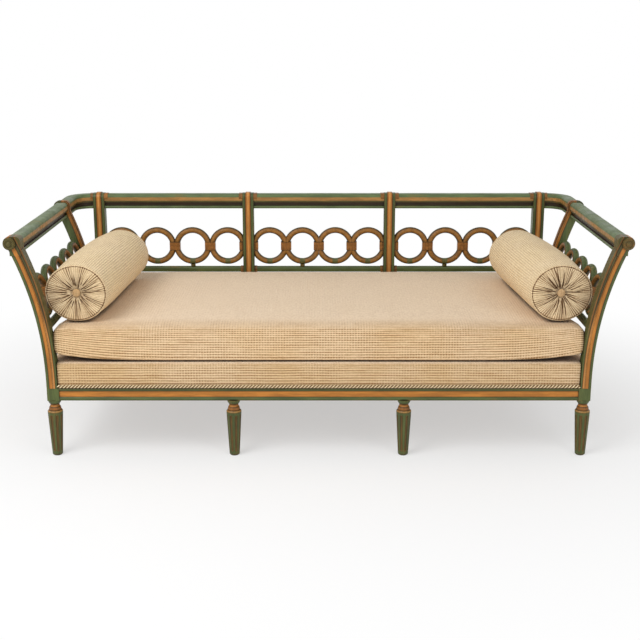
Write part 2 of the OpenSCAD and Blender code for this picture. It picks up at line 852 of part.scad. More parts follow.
// One flute: a slanting round cut with round ends, in the shaft's surface
flute_low_share = 0.13;
flute_high_share = 0.88;
module flute() {
    r1 = leg_foot_d / 2;
    r2 = leg_top_d / 2;
    slope = (r2 - r1) / leg_shaft_h;
    z1 = leg_shaft_h * flute_low_share;
    z2 = leg_shaft_h * flute_high_share;
    out = flute_r / 2;
    l = (z2 - z1) * sqrt(1 + slope * slope);
    translate([r1 + slope * z1 + out, 0, z1]) rotate([0, atan(slope), 0])
        cylinder(r = flute_r, h = l);
    translate([r1 + slope * z1 + out, 0, z1]) sphere(r = flute_r);
    translate([r1 + slope * z2 + out, 0, z2]) sphere(r = flute_r);
}

module leg(x, y) {
    color(green) union() {
        translate([x, y, 0]) difference() {
            rotate_extrude() polygon(leg_profile());
            for (k = [0 : flute_n - 1]) rotate([0, 0, (k + 1 / 2) * 360 / flute_n]) flute();
        }
        intersection() {
            dowel(x, y);
            block([x - dowel_d, y - dowel_d, leg_h - bite],
                [x + dowel_d, y + dowel_d, leg_h + dowel_l]);
        }
    }
}

// Front-to-back straps on the seat rails, and side-to-side straps on top of them
strap_edge = half_x / 9;
module front_to_back_webbing() {
    run = 2 * (half_x - strap_edge);
    color(jute) for (k = [0 : strap_n_y - 1]) {
        x = -run / 2 + run * k / (strap_n_y - 1);
        block([x - strap_w / 2, rail_front + rebate + rest, rail_top],
            [x + strap_w / 2, y_back - back_post_d / 2 + tenon_l, rail_top + strap_t]);
    }
}

module side_to_side_webbing() {
    y1 = y0 + block_w / 2 + strap_w;
    y2 = y_back - back_post_d / 2 - strap_w;
    color(jute) for (k = [0 : strap_n_x - 1]) {
        y = y1 + (y2 - y1) * k / (strap_n_x - 1);
        block([-cover_inner, y - strap_w / 2, rail_top + strap_t],
            [cover_inner, y + strap_w / 2, rail_top + 2 * strap_t]);
    }
}

// Outline of the deck seen from above, notched round the posts
module deck_outline(inset) {
    notch = arm_post_d / 2 + cover_gap + inset;
    difference() {
        rect([-cover_side + inset, cover_front + inset], [cover_side - inset, cover_rear - inset]);
        both_sides() {
            rect([cover_inner - inset, y0 - block_w], [cover_side + over, y0 + notch]);
            rect([cover_inner - inset, y_arm - notch], [cover_side + over, y_arm + notch]);
        }
    }
}

module deck_hessian() {
    z = rail_top + 2 * strap_t;
    color(jute) translate([0, 0, z]) linear_extrude(hessian_t) deck_outline(cover_t + rest);
}

module deck_padding() {
    z = rail_top + 2 * strap_t + hessian_t;
    color("#efe6d2") translate([0, 0, z]) linear_extrude(deck_top - cover_t - z)
        deck_outline(cover_t);
}

// Rounded-top profile, centred, used to round the deck's upper edges
edge_n = 6;
function edge_arc(x, y, r, a0) = [for (k = [0 : edge_n])
    [x + r * cos(a0 + 90 * k / edge_n), y + r * sin(a0 + 90 * k / edge_n)]];
module rounded_top(w, h, r) {
    polygon(concat([[-w / 2, 0], [w / 2, 0]], edge_arc(w / 2 - r, h - r, r, 0),
        edge_arc(r - w / 2, h - r, r, 90)));
}

module deck_cover() {
    h = deck_top - deck_z;
    w = 2 * cover_side;
    d = cover_rear - cover_front;
    y = (cover_rear + cover_front) / 2;
    color(cream) difference() {
        intersection() {
            translate([0, 0, deck_z]) linear_extrude(h) deck_outline(0);
            along_x(-cover_side, cover_side, y, deck_z) rounded_top(d, h, deck_edge_r);
            along_y(cover_front, cover_rear, 0, deck_z) rounded_top(w, h, deck_edge_r);
        }
        block([-cover_side + cover_t, cover_front + cover_t, deck_z - over],
            [cover_side - cover_t, cover_rear - cover_t, deck_top - cover_t]);
        block([-cover_side + cover_t, cover_rear - 2 * cover_t, deck_z - over],
            [cover_side - cover_t, cover_rear + over, rail_top + strap_t]);
    }
}

module deck_gimp_cord() {
    r = gimp_d / 2;
    z = deck_z + r;
    yf = cover_front - r;
    xs = cover_side + r;
    front_end = cover_inner;
    color(cream) {
        translate([-front_end, yf, z]) rotate([0, 90, 0]) cylinder(r = r, h = 2 * front_end);
        both_sides() {
            translate([xs, y0 + arm_post_d / 2 + fit, z]) rotate([-90, 0, 0])
                cylinder(r = r, h = arm_post_y - arm_post_d - 2 * fit);
            translate([xs, y_arm + arm_post_d / 2 + fit, z]) rotate([-90, 0, 0])
                cylinder(r = r, h = y_back - back_post_d / 2 - y_arm - arm_post_d / 2 - 2 * fit);
        }
    }
}

// Points of a rounded rectangle, counter-clockwise, with half sizes a and b and radius r
long_n = 15;
short_n = 8;
turn_n = 5;
function arc_points(cx, cy, r, a0) = [for (k = [0 : turn_n - 1])
    [cx + r * cos(a0 + 90 * k / turn_n), cy + r * sin(a0 + 90 * k / turn_n)]];
function line_points(x1, y1, x2, y2, n) = [for (k = [0 : n - 1])
    [x1 + (x2 - x1) * k / n, y1 + (y2 - y1) * k / n]];
function round_rect(a, b, r) = concat(
    line_points(r - a, -b, a - r, -b, long_n), arc_points(a - r, r - b, r, -90),
    line_points(a, r - b, a, b - r, short_n), arc_points(a - r, b - r, r, 0),
    line_points(a - r, b, r - a, b, long_n), arc_points(r - a, b - r, r, 90),
    line_points(-a, b - r, -a, r - b, short_n), arc_points(r - a, r - b, r, 180));

// Faces of a closed skin of rings, each of n points, with a centre point at each end
function skin_faces(rings, n) = concat(
    [for (k = [0 : n - 1]) [rings * n, k, (k + 1) % n]],
    [for (j = [0 : rings - 2], k = [0 : n - 1]) [j * n + k, (j + 1) * n + k,
        (j + 1) * n + (k + 1) % n]],
    [for (j = [0 : rings - 2], k = [0 : n - 1]) [j * n + k, (j + 1) * n + (k + 1) % n,
        j * n + (k + 1) % n]],
    [for (k = [0 : n - 1]) [rings * n + 1, (rings - 1) * n + (k + 1) % n, (rings - 1) * n + k]]);

// Seat cushion: rings as shares [edge roll, crown run, height] from the bottom round to the top
cushion_a = cushion_w / 2;
cushion_b = cushion_d / 2;
function crown_at(inset) = crown * (1 - pow(1 - min(1, inset / crown_run), 2));
lift_x_share = 0.45;
lift_y_share = 0.5;
function ramp(v, full, share) = pow(max(0, (abs(v) / full - share) / (1 - share)), 2);
function lift_at(x, y) = corner_lift * ramp(x, cushion_a, lift_x_share)
    * ramp(y, cushion_b, lift_y_share);
function drawn(x, y) = y - sign(y) * draw_in * (1 - pow(x / cushion_a, 2))
    * pow(abs(y) / cushion_b, 2);
bottom_shares = [[6, 0], [3, 0], [1.3, 0], [0.6, 0.04], [0.2, 0.14], [0, 0.32]];
top_shares = [[0, 0.62], [0.12, 0.8], [0.45, 0.94], [1, 1], [2.2, 1], [4.5, 1], [8, 1], [12, 1]];

function cushion_ring(inset, z, w) = [for (p = round_rect(cushion_a - inset, cushion_b - inset,
    max(cushion_corner_r - inset, cushion_corner_r / 4)))
    [p[0], drawn(p[0], p[1]), z + w * lift_at(p[0], p[1])]];

module seat_cushion() {
    n = 2 * long_n + 2 * short_n + 4 * turn_n;
    rings = len(bottom_shares) + len(top_shares);
    low = [for (s = bottom_shares) each cushion_ring(s[0] * edge_roll, s[1] * cushion_h,
        1 - s[1])];
    high = [for (s = top_shares) each cushion_ring(s[0] * edge_roll,
        s[1] * cushion_h + crown_at(s[0] * edge_roll), 0)];
    ends = [[0, 0, 0], [0, 0, cushion_h + crown]];
    color(cream) translate([0, cushion_y, cushion_z])
        polyhedron(concat(low, high, ends), skin_faces(rings, n));
}

// Bolsters lie on the cushion, drawn with their axis along Y and their middle at the origin.
bolster_n = 3 * pleat_n;
bolster_x = half_x - bolster_inset - sin(bolster_turn) * bolster_l / 2;
bolster_y = cushion_front + bolster_front_gap + bolster_l / 2;
// Places along a bolster, as shares of its length, between which it has its full middle radius
belly_shares = [0.28, 0.72];
// The cushion's crown under a bolster, a share of the bolster's length from its front end
function crown_under(share) = crown_at(cushion_a - bolster_x
    + sin(bolster_turn) * bolster_l * (share - 1 / 2));
bolster_seat = max(crown_under(belly_shares[1]), crown_under(1) - bolster_bulge);
bolster_z = cushion_top + bolster_seat + rest * 3 / 2 + bolster_r + bolster_bulge;
welt_set = 3 * welt_r;
welt_seat = bolster_r - welt_r;

module on_cushion() {
    translate([bolster_x, bolster_y, bolster_z]) rotate([0, 0, bolster_turn]) children();
}

function bolster_ring(r, y, pleat) = [for (k = [0 : bolster_n - 1])
    let (a = 360 * k / bolster_n)
    [r * cos(a), y + pleat * cos(pleat_n * a), r * sin(a)]];

// Rings of one end as [radius, depth below the end plane, pleat depth], from the rim inwards
groove = welt_seat - welt_r - rest;
end_rings = [[bolster_r, 2 * welt_set, 0], [groove, welt_set + welt_r, 0],
    [groove, welt_set - welt_r, 0], [groove, welt_r, 0],
    [bolster_r * 0.78, welt_r / 2, pleat_d / 2], [bolster_r * 0.5, tuft_d / 4, pleat_d],
    [bolster_r * 0.26, tuft_d / 2, pleat_d], [bolster_r * 0.15, tuft_d, 0]];

module bolster() {
    h = bolster_l / 2;
    m = len(end_rings);
    belly = [for (s = belly_shares) each bolster_ring(bolster_r + bolster_bulge,
        -h + s * bolster_l, 0)];
    front = [for (j = [m - 1 : -1 : 0]) each bolster_ring(end_rings[j][0],
        -h + end_rings[j][1], end_rings[j][2])];
    rear = [for (j = [0 : m - 1]) each bolster_ring(end_rings[j][0],
        h - end_rings[j][1], -end_rings[j][2])];
    ends = [[0, -h + tuft_d, 0], [0, h - tuft_d, 0]];
    color(cream) on_cushion()
        polyhedron(concat(front, belly, rear, ends),
            skin_faces(2 * m + len(belly_shares), bolster_n));
}

module bolster_welts() {
    color(ochre) on_cushion() for (side = [-1, 1])
        translate([0, side * (bolster_l / 2 - welt_set), 0]) rotate([90, 0, 0])
            rotate_extrude() translate([welt_seat, 0]) circle(r = welt_r);
}

// Covered buttons: a short disc with a domed face, seated in the drawn-in middle
button_edge = button_t / 2;
module button() {
    dome_r = (button_r * button_r + button_edge * button_edge) / (2 * button_edge);
    cylinder(r = button_r, h = button_edge);
    intersection() {
        translate([0, 0, button_t - dome_r]) sphere(r = dome_r);
        cylinder(r = button_r, h = button_t);
    }
}

module bolster_buttons() {
    seat = bolster_l / 2 - tuft_d + rest;
    color(ochre) on_cushion() {
        translate([0, -seat, 0]) rotate([90, 0, 0]) button();
        translate([0, seat, 0]) rotate([-90, 0, 0]) button();
    }
}

module mid_leg_front(x) {
    leg(x, rail_front + rail_t / 2);
}

module mid_leg_rear(x) {
    leg(x, rail_rear - rail_t / 2);
}

left_side() front_post();  // front_left_post
front_post();  // front_right_post
left_side() arm_post();  // rear_left_arm_post
arm_post();  // rear_right_arm_post
left_side() outer_back_post();  // outer_left_back_post
left_side() inner_back_post();  // inner_left_back_post
inner_back_post();  // inner_right_back_post
outer_back_post();  // outer_right_back_post
back_top_rail();
left_side() corner_rail();  // left_corner_rail
corner_rail();  // right_corner_rail
left_side() arm_rail();  // left_arm_rail
arm_rail();  // right_arm_rail
left_side() roundel();  // left_roundel
roundel();  // right_roundel
left_side() side_lower_back_rail();  // left_lower_back_rail
centre_lower_back_rail();
side_lower_back_rail();  // right_lower_back_rail
left_side() color(green) low_arm_rail_bar();  // left_lower_arm_rail
color(green) low_arm_rail_bar();  // right_lower_arm_rail
left_side() color(ochre) in_side_bay()  // left_bay_rings
    ring_row(bay_l, back_rings);
color(ochre) in_centre_bay()  // centre_bay_rings
    ring_row(centre_l, back_rings);
color(ochre) in_side_bay()  // right_bay_rings
    ring_row(bay_l, back_rings);
left_side() color(ochre) in_arm()  // left_arm_rings
    ring_row(arm_l, arm_rings);
color(ochre) in_arm()  // right_arm_rings
    ring_row(arm_l, arm_rings);
color(ochre) {  // back_ring_ties
    both_sides() in_side_bay() tie_row(bay_l, back_rings);
    in_centre_bay() tie_row(centre_l, back_rings);
}
left_side() color(ochre) in_arm()  // left_arm_ring_ties
    tie_row(arm_l, arm_rings);
color(ochre) in_arm()  // right_arm_ring_ties
    tie_row(arm_l, arm_rings);
ring_stubs();
top_rail_collars();
lower_rail_collars();
front_seat_rail();
rear_seat_rail();
left_side() side_seat_rail();  // left_seat_rail
side_seat_rail();  // right_seat_rail
seat_cross_rails();
corner_braces();
brace_screws();
leg(-half_x, y0);  // front_left_leg
mid_leg_front(-mid_x);  // front_inner_left_leg
mid_leg_front(mid_x);  // front_inner_right_leg
leg(half_x, y0);  // front_right_leg
leg(-half_x, y_back);  // rear_left_leg
mid_leg_rear(-mid_x);  // rear_inner_left_leg
mid_leg_rear(mid_x);  // rear_inner_right_leg
leg(half_x, y_back);  // rear_right_leg
front_to_back_webbing();
side_to_side_webbing();
deck_hessian();
deck_padding();
deck_cover();
deck_gimp_cord();
seat_cushion();
left_side() bolster();  // left_bolster
bolster();  // right_bolster
left_side() bolster_welts();  // left_bolster_welts
bolster_welts();  // right_bolster_welts
left_side() bolster_buttons();  // left_bolster_buttons
bolster_buttons();  // right_bolster_buttons
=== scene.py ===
import math
import random

import bmesh
import bpy
import numpy as np
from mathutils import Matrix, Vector


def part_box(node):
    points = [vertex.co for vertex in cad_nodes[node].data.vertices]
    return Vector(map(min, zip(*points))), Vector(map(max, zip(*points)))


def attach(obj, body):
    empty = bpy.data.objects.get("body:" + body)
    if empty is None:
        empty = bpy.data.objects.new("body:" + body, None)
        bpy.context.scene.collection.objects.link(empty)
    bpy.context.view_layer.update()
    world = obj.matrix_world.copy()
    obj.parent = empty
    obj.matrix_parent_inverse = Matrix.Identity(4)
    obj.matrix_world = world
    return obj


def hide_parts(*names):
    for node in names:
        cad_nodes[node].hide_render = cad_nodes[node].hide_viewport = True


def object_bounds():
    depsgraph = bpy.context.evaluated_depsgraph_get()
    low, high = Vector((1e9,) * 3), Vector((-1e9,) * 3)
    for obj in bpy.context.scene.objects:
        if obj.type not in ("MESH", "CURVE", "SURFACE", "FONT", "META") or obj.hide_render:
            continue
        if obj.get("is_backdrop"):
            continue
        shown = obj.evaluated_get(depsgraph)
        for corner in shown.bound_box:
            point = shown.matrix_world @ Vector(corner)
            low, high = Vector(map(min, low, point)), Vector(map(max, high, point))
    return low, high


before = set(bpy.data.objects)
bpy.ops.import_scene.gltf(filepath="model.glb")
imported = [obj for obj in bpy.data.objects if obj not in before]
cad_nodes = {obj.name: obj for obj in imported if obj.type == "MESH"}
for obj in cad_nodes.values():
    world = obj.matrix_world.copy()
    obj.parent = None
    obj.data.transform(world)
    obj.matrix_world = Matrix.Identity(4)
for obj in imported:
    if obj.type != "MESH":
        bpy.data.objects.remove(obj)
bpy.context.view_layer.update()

scene = bpy.context.scene
bpy.ops.object.select_all(action="DESELECT")

# Camera, floor and light.
# A long lens at chest height in front of the middle of the seat. The floor is a pale sheet
# that fades into white, and two large soft lamps stand over a bright room.
PHOTO = 640
FOCAL_PIXELS = 1150
SENSOR = 36.0
CAMERA_PLACE, CAMERA_TILT, CAMERA_SHIFT = (0, -4.454, 1.5335), 75.39, 0.0018
FLOOR_SIZE, FADE_FROM, FADE_TO = 30, 0.9, 2.4
bpy.ops.object.camera_add(location=CAMERA_PLACE, rotation=(math.radians(CAMERA_TILT), 0, 0))
camera = bpy.context.object
camera.name = "view_camera"
camera.data.sensor_width = SENSOR
camera.data.lens = SENSOR * FOCAL_PIXELS / PHOTO
camera.data.shift_x = CAMERA_SHIFT
scene.camera = camera
scene.view_settings.view_transform = "Standard"


def plug(tree, socket, value):
    """Links a socket to another one, or sets its plain value."""
    if isinstance(value, bpy.types.NodeSocket):
        tree.links.new(value, socket)
    else:
        socket.default_value = value


def node(tree, kind, inputs=None, **settings):
    """Adds one shader node with its settings and inputs."""
    made = tree.nodes.new("ShaderNode" + kind)
    for key, value in settings.items():
        setattr(made, key, value)
    for key, value in (inputs or {}).items():
        plug(tree, made.inputs[key], value)
    return made


def maths(tree, operation, a, b=0.0, c=0.0):
    """One step of arithmetic on sockets or numbers."""
    return node(tree, "Math", {0: a, 1: b, 2: c}, operation=operation).outputs[0]


def smooth_between(tree, value, low, high, at_low=0.0, at_high=1.0):
    """Runs from one value to another as a socket passes between two limits."""
    return node(tree, "MapRange", {0: value, 1: low, 2: high, 3: at_low, 4: at_high},
                interpolation_type="SMOOTHSTEP").outputs[0]


def plain_material(name):
    """An empty material with its shader, ready for a finish."""
    made = bpy.data.materials.new(name)
    made.use_nodes = True
    tree = made.node_tree
    tree.nodes.clear()
    shader = node(tree, "BsdfPrincipled")
    end = node(tree, "OutputMaterial")
    tree.links.new(shader.outputs[0], end.inputs[0])
    return made, tree, shader


def looked_at(tree):
    """1 where the backdrop is seen, straight or in gloss or glass, and 0 where it only lights."""
    path = node(tree, "LightPath").outputs
    return maths(tree, "MAXIMUM", path["Is Camera Ray"],
                 maths(tree, "MAXIMUM", path["Is Glossy Ray"], path["Is Transmission Ray"]))


bpy.ops.mesh.primitive_plane_add(size=FLOOR_SIZE)
floor = bpy.context.object
floor.name = "floor"
sheet_material, tree, shader = plain_material("floor_paper")
shader.inputs["Base Color"].default_value = (0.95, 0.95, 0.95, 1)
shader.inputs["Roughness"].default_value = 0.9
glow = node(tree, "Emission", {"Color": (1, 1, 1, 1), "Strength": 1.0})
away = node(tree, "VectorMath", {0: node(tree, "TexCoord").outputs["Object"]},
            operation="LENGTH").outputs["Value"]
share = maths(tree, "MULTIPLY", looked_at(tree),
              smooth_between(tree, away, FADE_FROM, FADE_TO, 0.50, 1.0))
fade = node(tree, "MixShader", {0: share, 1: shader.outputs[0], 2: glow.outputs[0]})
tree.links.new(fade.outputs[0], tree.nodes["Material Output"].inputs[0])
floor.data.materials.append(sheet_material)
floor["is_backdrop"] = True

world = bpy.data.worlds.new("soft_room")
scene.world = world
world.use_nodes = True
tree = world.node_tree
tree.nodes.clear()
room = node(tree, "Background", {
    "Color": (1, 1, 1, 1), "Strength": maths(tree, "MULTIPLY_ADD", looked_at(tree), 0.45, 0.55)})
tree.links.new(room.outputs[0], node(tree, "OutputWorld").inputs[0])


def soft_lamp(name, place, aim, size, power):
    bpy.ops.object.light_add(type="AREA", location=place)
    lamp = bpy.context.object
    lamp.name = name
    lamp.data.size = size
    lamp.data.energy = power
    lamp.rotation_euler = (Vector(aim) - Vector(place)).to_track_quat("-Z", "Y").to_euler()


soft_lamp("lamp_over_left", (-2.2, -2.6, 3.4), (0, 0, 0.4), 2.4, 95)
soft_lamp("lamp_front_right", (2.6, -4.2, 1.9), (0, 0, 0.4), 2.2, 38)

# Painted beech frame.
# The frame is turned and moulded beech, painted sage green with its ridges picked out in
# orange-brown. A dark glaze lies in the hollows, and the edges are rubbed to the wood.
def colour(r, g, b):
    """A colour as written in a paint chart, in the values that the shaders take."""
    def lift(c):
        c = c / 255
        return ((c + 0.055) / 1.055) ** 2.4 if c > 0.04045 else c / 12.92
    return (lift(r), lift(g), lift(b), 1.0)


# A paler copy of GREEN: painted light on the top rails.
LIT_TOP_GREEN = colour(92, 108, 68)
GREEN = colour(80, 91, 49)
BLOCK_GREEN = colour(84, 94, 50)
OLIVE = colour(84, 78, 38)
DARK_OLIVE = colour(52, 48, 24)
ORANGE = colour(185, 119, 48)
PALE_ORANGE = colour(204, 144, 80)
BAND = colour(164, 123, 68)
OCHRE = colour(152, 106, 48)
BROWN = colour(128, 86, 38)
REDDISH = colour(148, 92, 40)
DARK_BROWN = colour(54, 38, 16)
GLAZE = colour(38, 30, 14)


def mixed(tree, share, a, b, blend="MIX"):
    """Mixes two colours by a share."""
    return node(tree, "Mix", {0: share, 6: a, 7: b}, data_type="RGBA",
                blend_type=blend).outputs[2]


def ramp(tree, value, stops):
    """Colours along a socket, as (place, colour) pairs."""
    made = node(tree, "ValToRGB", {0: value})
    bar = made.color_ramp.elements
    while len(bar) < len(stops):
        bar.new(1.0)
    for mark, (place, tint) in zip(bar, stops):
        mark.position = place
        mark.color = tint
    return made.outputs[0]


def noise(tree, where, scale, detail=4.0, rough=0.6):
    return node(tree, "TexNoise", {"Vector": where, "Scale": scale, "Detail": detail,
                                   "Roughness": rough}).outputs[0]


def axes_of(tree, place):
    """The x, y and z of a place."""
    return node(tree, "SeparateXYZ", {0: place}).outputs


def stretched(tree, place, scale):
    """A place drawn out for a grain or for brush marks."""
    return node(tree, "Mapping", {"Vector": place, "Scale": scale}).outputs[0]


def hollows(tree, reach):
    """How open a place is: 1 on a free face, and less in a hollow."""
    return node(tree, "AmbientOcclusion", {"Distance": reach}, samples=6).outputs["AO"]


def surface(tree, shader, tone, rough, relief=None, strength=0.0, depth=0.0):
    """Gives a shader its colour, its roughness and the relief of its surface."""
    plug(tree, shader.inputs["Base Color"], tone)
    plug(tree, shader.inputs["Roughness"], rough)
    if relief is not None:
        raised = node(tree, "Bump", {"Strength": strength, "Distance": depth, "Height": relief})
        tree.links.new(raised.outputs[0], shader.inputs["Normal"])


RUBBED_EDGE = 0.0022


def paint(name, body, worn, along=(1, 1, 1), tint=None, wear=0.5, glaze=0.85):
    """Rubbed paint. along stretches the brush marks, and tint may colour by place."""
    made, tree, shader = plain_material(name)
    place = node(tree, "TexCoord").outputs["Object"]
    patches = noise(tree, place, 11.0, 5.0, 0.62)
    marks = noise(tree, stretched(tree, place, along), 60.0, 6.0, 0.7)
    base = tint(tree, place) if tint else body
    depth = smooth_between(tree, marks, 0.36, 0.66, 0.74, 1.16)
    level = node(tree, "CombineColor", {0: depth, 1: depth, 2: depth}).outputs[0]
    base = mixed(tree, 1.0, base, level, "MULTIPLY")
    rubbed = maths(tree, "MULTIPLY", smooth_between(tree, patches, 0.5, 0.72),
                   smooth_between(tree, marks, 0.45, 0.6))
    base = mixed(tree, maths(tree, "MULTIPLY", rubbed, wear), base, worn)
    normal = node(tree, "NewGeometry").outputs["Normal"]
    soft = node(tree, "Bevel", {"Radius": RUBBED_EDGE}, samples=4).outputs[0]
    turn = node(tree, "VectorMath", {0: normal, 1: soft}, operation="DOT_PRODUCT").outputs["Value"]
    edge = maths(tree, "MULTIPLY", smooth_between(tree, turn, 0.995, 0.9),
                 smooth_between(tree, patches, 0.35, 0.62, 0.15, 0.9))
    base = mixed(tree, edge, base, worn)
    sunk = smooth_between(tree, hollows(tree, reach=0.014), 0.86, 0.3, 0.0, glaze)
    base = mixed(tree, sunk, base, GLAZE)
    shader.inputs["Specular IOR Level"].default_value = 0.3
    surface(tree, shader, base, smooth_between(tree, patches, 0.3, 0.7, 0.36, 0.56), marks,
            strength=0.25, depth=0.0006)
    return made


def dress(names, *materials):
    """Gives CAD nodes their materials in place of the plain ones."""
    for name in names:
        slots = cad_nodes[name].data.materials
        slots.clear()
        for material in materials:
            slots.append(material)


def faces_of(name):
    """Middle and normal of every face of a CAD node."""
    mesh = cad_nodes[name].data
    middle = np.empty(len(mesh.polygons) * 3)
    normal = np.empty(len(mesh.polygons) * 3)
    mesh.polygons.foreach_get("center", middle)
    mesh.polygons.foreach_get("normal", normal)
    return middle.reshape(-1, 3), normal.reshape(-1, 3)


def sort_faces(name, index):
    """Sets which material each face of a CAD node takes."""
    mesh = cad_nodes[name].data
    mesh.polygons.foreach_set("material_index", np.asarray(index, dtype=np.int32))
    mesh.update()


# Seat rails: an orange flat between two green beads outside, bare wood inside.
RAIL_FOOT, RAIL_FACE_TOP = 0.211, 0.258


def rail_tint(tree, place):
    z = axes_of(tree, place)[2]
    share = node(tree, "MapRange", {0: z, 1: RAIL_FOOT, 2: RAIL_FACE_TOP}).outputs[0]
    return ramp(tree, share, [(0.0, GREEN), (0.255, GREEN), (0.295, DARK_OLIVE),
                              (0.33, ORANGE), (0.70, ORANGE), (0.76, DARK_OLIVE),
                              (0.80, GREEN), (1.0, OLIVE)])


rail_paint = paint("rail_paint", ORANGE, BROWN, (0.12, 1, 1), rail_tint, wear=0.35)
side_rail_paint = paint("side_rail_paint", ORANGE, BROWN, (1, 0.12, 1), rail_tint, wear=0.35)


def bare_wood(name, along):
    """Planed beech, left bare where it isn't seen, with its grain along the piece."""
    made, tree, shader = plain_material(name)
    place = node(tree, "TexCoord").outputs["Object"]
    drawn = stretched(tree, place, along)
    grain = noise(tree, drawn, 110.0, 8.0, 0.65)
    wide = noise(tree, drawn, 14.0, 3.0)
    tone = mixed(tree, smooth_between(tree, grain, 0.35, 0.68), colour(196, 158, 112),
                 colour(152, 112, 72))
    tone = mixed(tree, smooth_between(tree, wide, 0.4, 0.7, 0.0, 0.4), tone,
                 colour(128, 92, 60))
    surface(tree, shader, tone, 0.7, grain, strength=0.3, depth=0.0005)
    return made


bare_along = bare_wood("bare_beech_along", (0.08, 1, 1))
bare_across = bare_wood("bare_beech_across", (1, 0.08, 1))
dress(["front_seat_rail", "rear_seat_rail"], rail_paint, bare_along)
dress(["left_seat_rail", "right_seat_rail"], side_rail_paint, bare_across)
dress(["seat_cross_rails"], bare_across)
dress(["corner_braces"], bare_wood("bare_beech_brace", (0.3, 0.3, 1)))
for name, axis, inward in (("front_seat_rail", 1, 1), ("rear_seat_rail", 1, -1),
                           ("left_seat_rail", 0, 1), ("right_seat_rail", 0, -1)):
    middle, normal = faces_of(name)
    sort_faces(name, (normal[:, axis] * inward > 0.5) | (middle[:, 2] > RAIL_FACE_TOP + 0.001))

# Zinc-plated countersunk screws hold the corner braces.
steel, tree, shader = plain_material("brace_screw_steel")
dull = noise(tree, node(tree, "TexCoord").outputs["Object"], 300.0)
tone = mixed(tree, smooth_between(tree, dull, 0.4, 0.6), colour(168, 164, 152),
             colour(128, 122, 108))
shader.inputs["Metallic"].default_value = 1.0
surface(tree, shader, tone, smooth_between(tree, dull, 0.3, 0.7, 0.3, 0.5))
dress(["brace_screws"], steel)

# Legs: eight flutes picked out in brown, an orange-brown ring and neck, and a green bulb.
FLUTES, FLUTE_FOOT, FLUTE_TOP = 8, (0.012, 0.022), (0.161, 0.153)


def leg_tint(x, y):
    def tint(tree, place):
        axes = axes_of(tree, place)
        angle = maths(tree, "ARCTAN2", maths(tree, "SUBTRACT", axes[1], y),
                      maths(tree, "SUBTRACT", axes[0], x))
        step = 2 * math.pi / FLUTES
        off = maths(tree, "ABSOLUTE", maths(tree, "WRAP", maths(tree, "ADD", angle, step / 2),
                                            step / 2, -step / 2))
        stripe = ramp(tree, maths(tree, "DIVIDE", off, step / 2),
                      [(0.0, OLIVE), (0.16, BROWN), (0.34, DARK_OLIVE), (0.5, GREEN),
                       (0.62, OLIVE), (0.8, GREEN)])
        in_shaft = maths(tree, "MULTIPLY", smooth_between(tree, axes[2], *FLUTE_FOOT),
                         smooth_between(tree, axes[2], *FLUTE_TOP))
        below = ramp(tree, node(tree, "MapRange", {0: axes[2], 1: 0.0, 2: RAIL_FOOT}).outputs[0],
                     [(0.0, OLIVE), (0.06, GREEN), (0.765, GREEN), (0.785, OLIVE),
                      (0.80, BAND), (0.812, BAND), (0.818, DARK_BROWN), (0.828, BROWN),
                      (0.845, REDDISH), (0.868, BROWN), (0.878, DARK_BROWN), (0.893, ORANGE),
                      (0.92, BROWN), (0.935, DARK_BROWN), (0.955, GREEN)])
        return mixed(tree, in_shaft, below, stripe)
    return tint


for name in [n for n in cad_nodes if n.endswith("_leg")]:
    low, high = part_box(name)
    x, y = (low.x + high.x) / 2, (low.y + high.y) / 2
    dress([name], paint(name + "_paint", GREEN, BROWN, (1, 1, 0.15), leg_tint(x, y), wear=0.4))

# Top rail: green over the top, then an orange band, an olive step, a dark cove and a green bead
# under it.
# The corners and arm rails carry the same moulding. Their green is a paler copy of the frame's
# green, painted light for rails that face up to the lamps, and the cove's very dark brown is
# painted shade in the hollow under the band.
crest_finish = [
    paint("top_rail_green", LIT_TOP_GREEN, BROWN, (0.15, 1, 1), wear=0.35),
    paint("top_rail_band", BAND, PALE_ORANGE, (0.15, 1, 1), wear=0.6, glaze=0.5),
    paint("top_rail_step", OLIVE, BROWN, (0.15, 1, 1), wear=0.5),
    paint("top_rail_cove", DARK_BROWN, DARK_OLIVE, (0.15, 1, 1), wear=0.5),
]
CREST_Z, CREST_Y, CREST_X, BEND_X, BEND_Y, CORNER = 0.743, 0.492, 1.037, 0.977, 0.432, 0.060
COVE_LOW, STEP_LOW, BAND_LOW, BAND_HIGH = 0.0115, 0.0282, 0.0352, 0.0488
FACE_OUT, COVE_OUT = 0.018, 0.045
for name in ("back_top_rail", "left_corner_rail", "right_corner_rail", "left_arm_rail",
             "right_arm_rail"):
    dress([name], *crest_finish)
    middle, normal = faces_of(name)
    if name == "back_top_rail":
        u = middle[:, 1] - CREST_Y
    elif "corner" in name:
        u = np.hypot(np.abs(middle[:, 0]) - BEND_X, middle[:, 1] - BEND_Y) - CORNER
    else:
        u = np.abs(middle[:, 0]) - CREST_X
    v = middle[:, 2] - CREST_Z
    inside = u < FACE_OUT
    kind = np.zeros(len(v), dtype=int)
    kind[inside & (v > BAND_LOW) & (v < BAND_HIGH)] = 1
    kind[inside & (v > STEP_LOW) & (v <= BAND_LOW)] = 2
    kind[(v > COVE_LOW) & (v <= STEP_LOW) & (u < COVE_OUT)] = 3
    sort_faces(name, kind)


# Straight posts: an orange-brown centre between olive edges. The middle of the centre is pale
# orange, a painted highlight on the rounded band.
POST_HALF = 0.024


def post_tint(x):
    def tint(tree, place):
        axes = axes_of(tree, place)
        off = maths(tree, "ABSOLUTE", maths(tree, "SUBTRACT", axes[0], x))
        return ramp(tree, maths(tree, "DIVIDE", off, POST_HALF),
                    [(0.0, PALE_ORANGE), (0.2, ORANGE), (0.42, BROWN), (0.52, DARK_OLIVE),
                     (0.62, GREEN), (0.85, GREEN), (0.93, DARK_OLIVE), (1.0, GREEN)])
    return tint


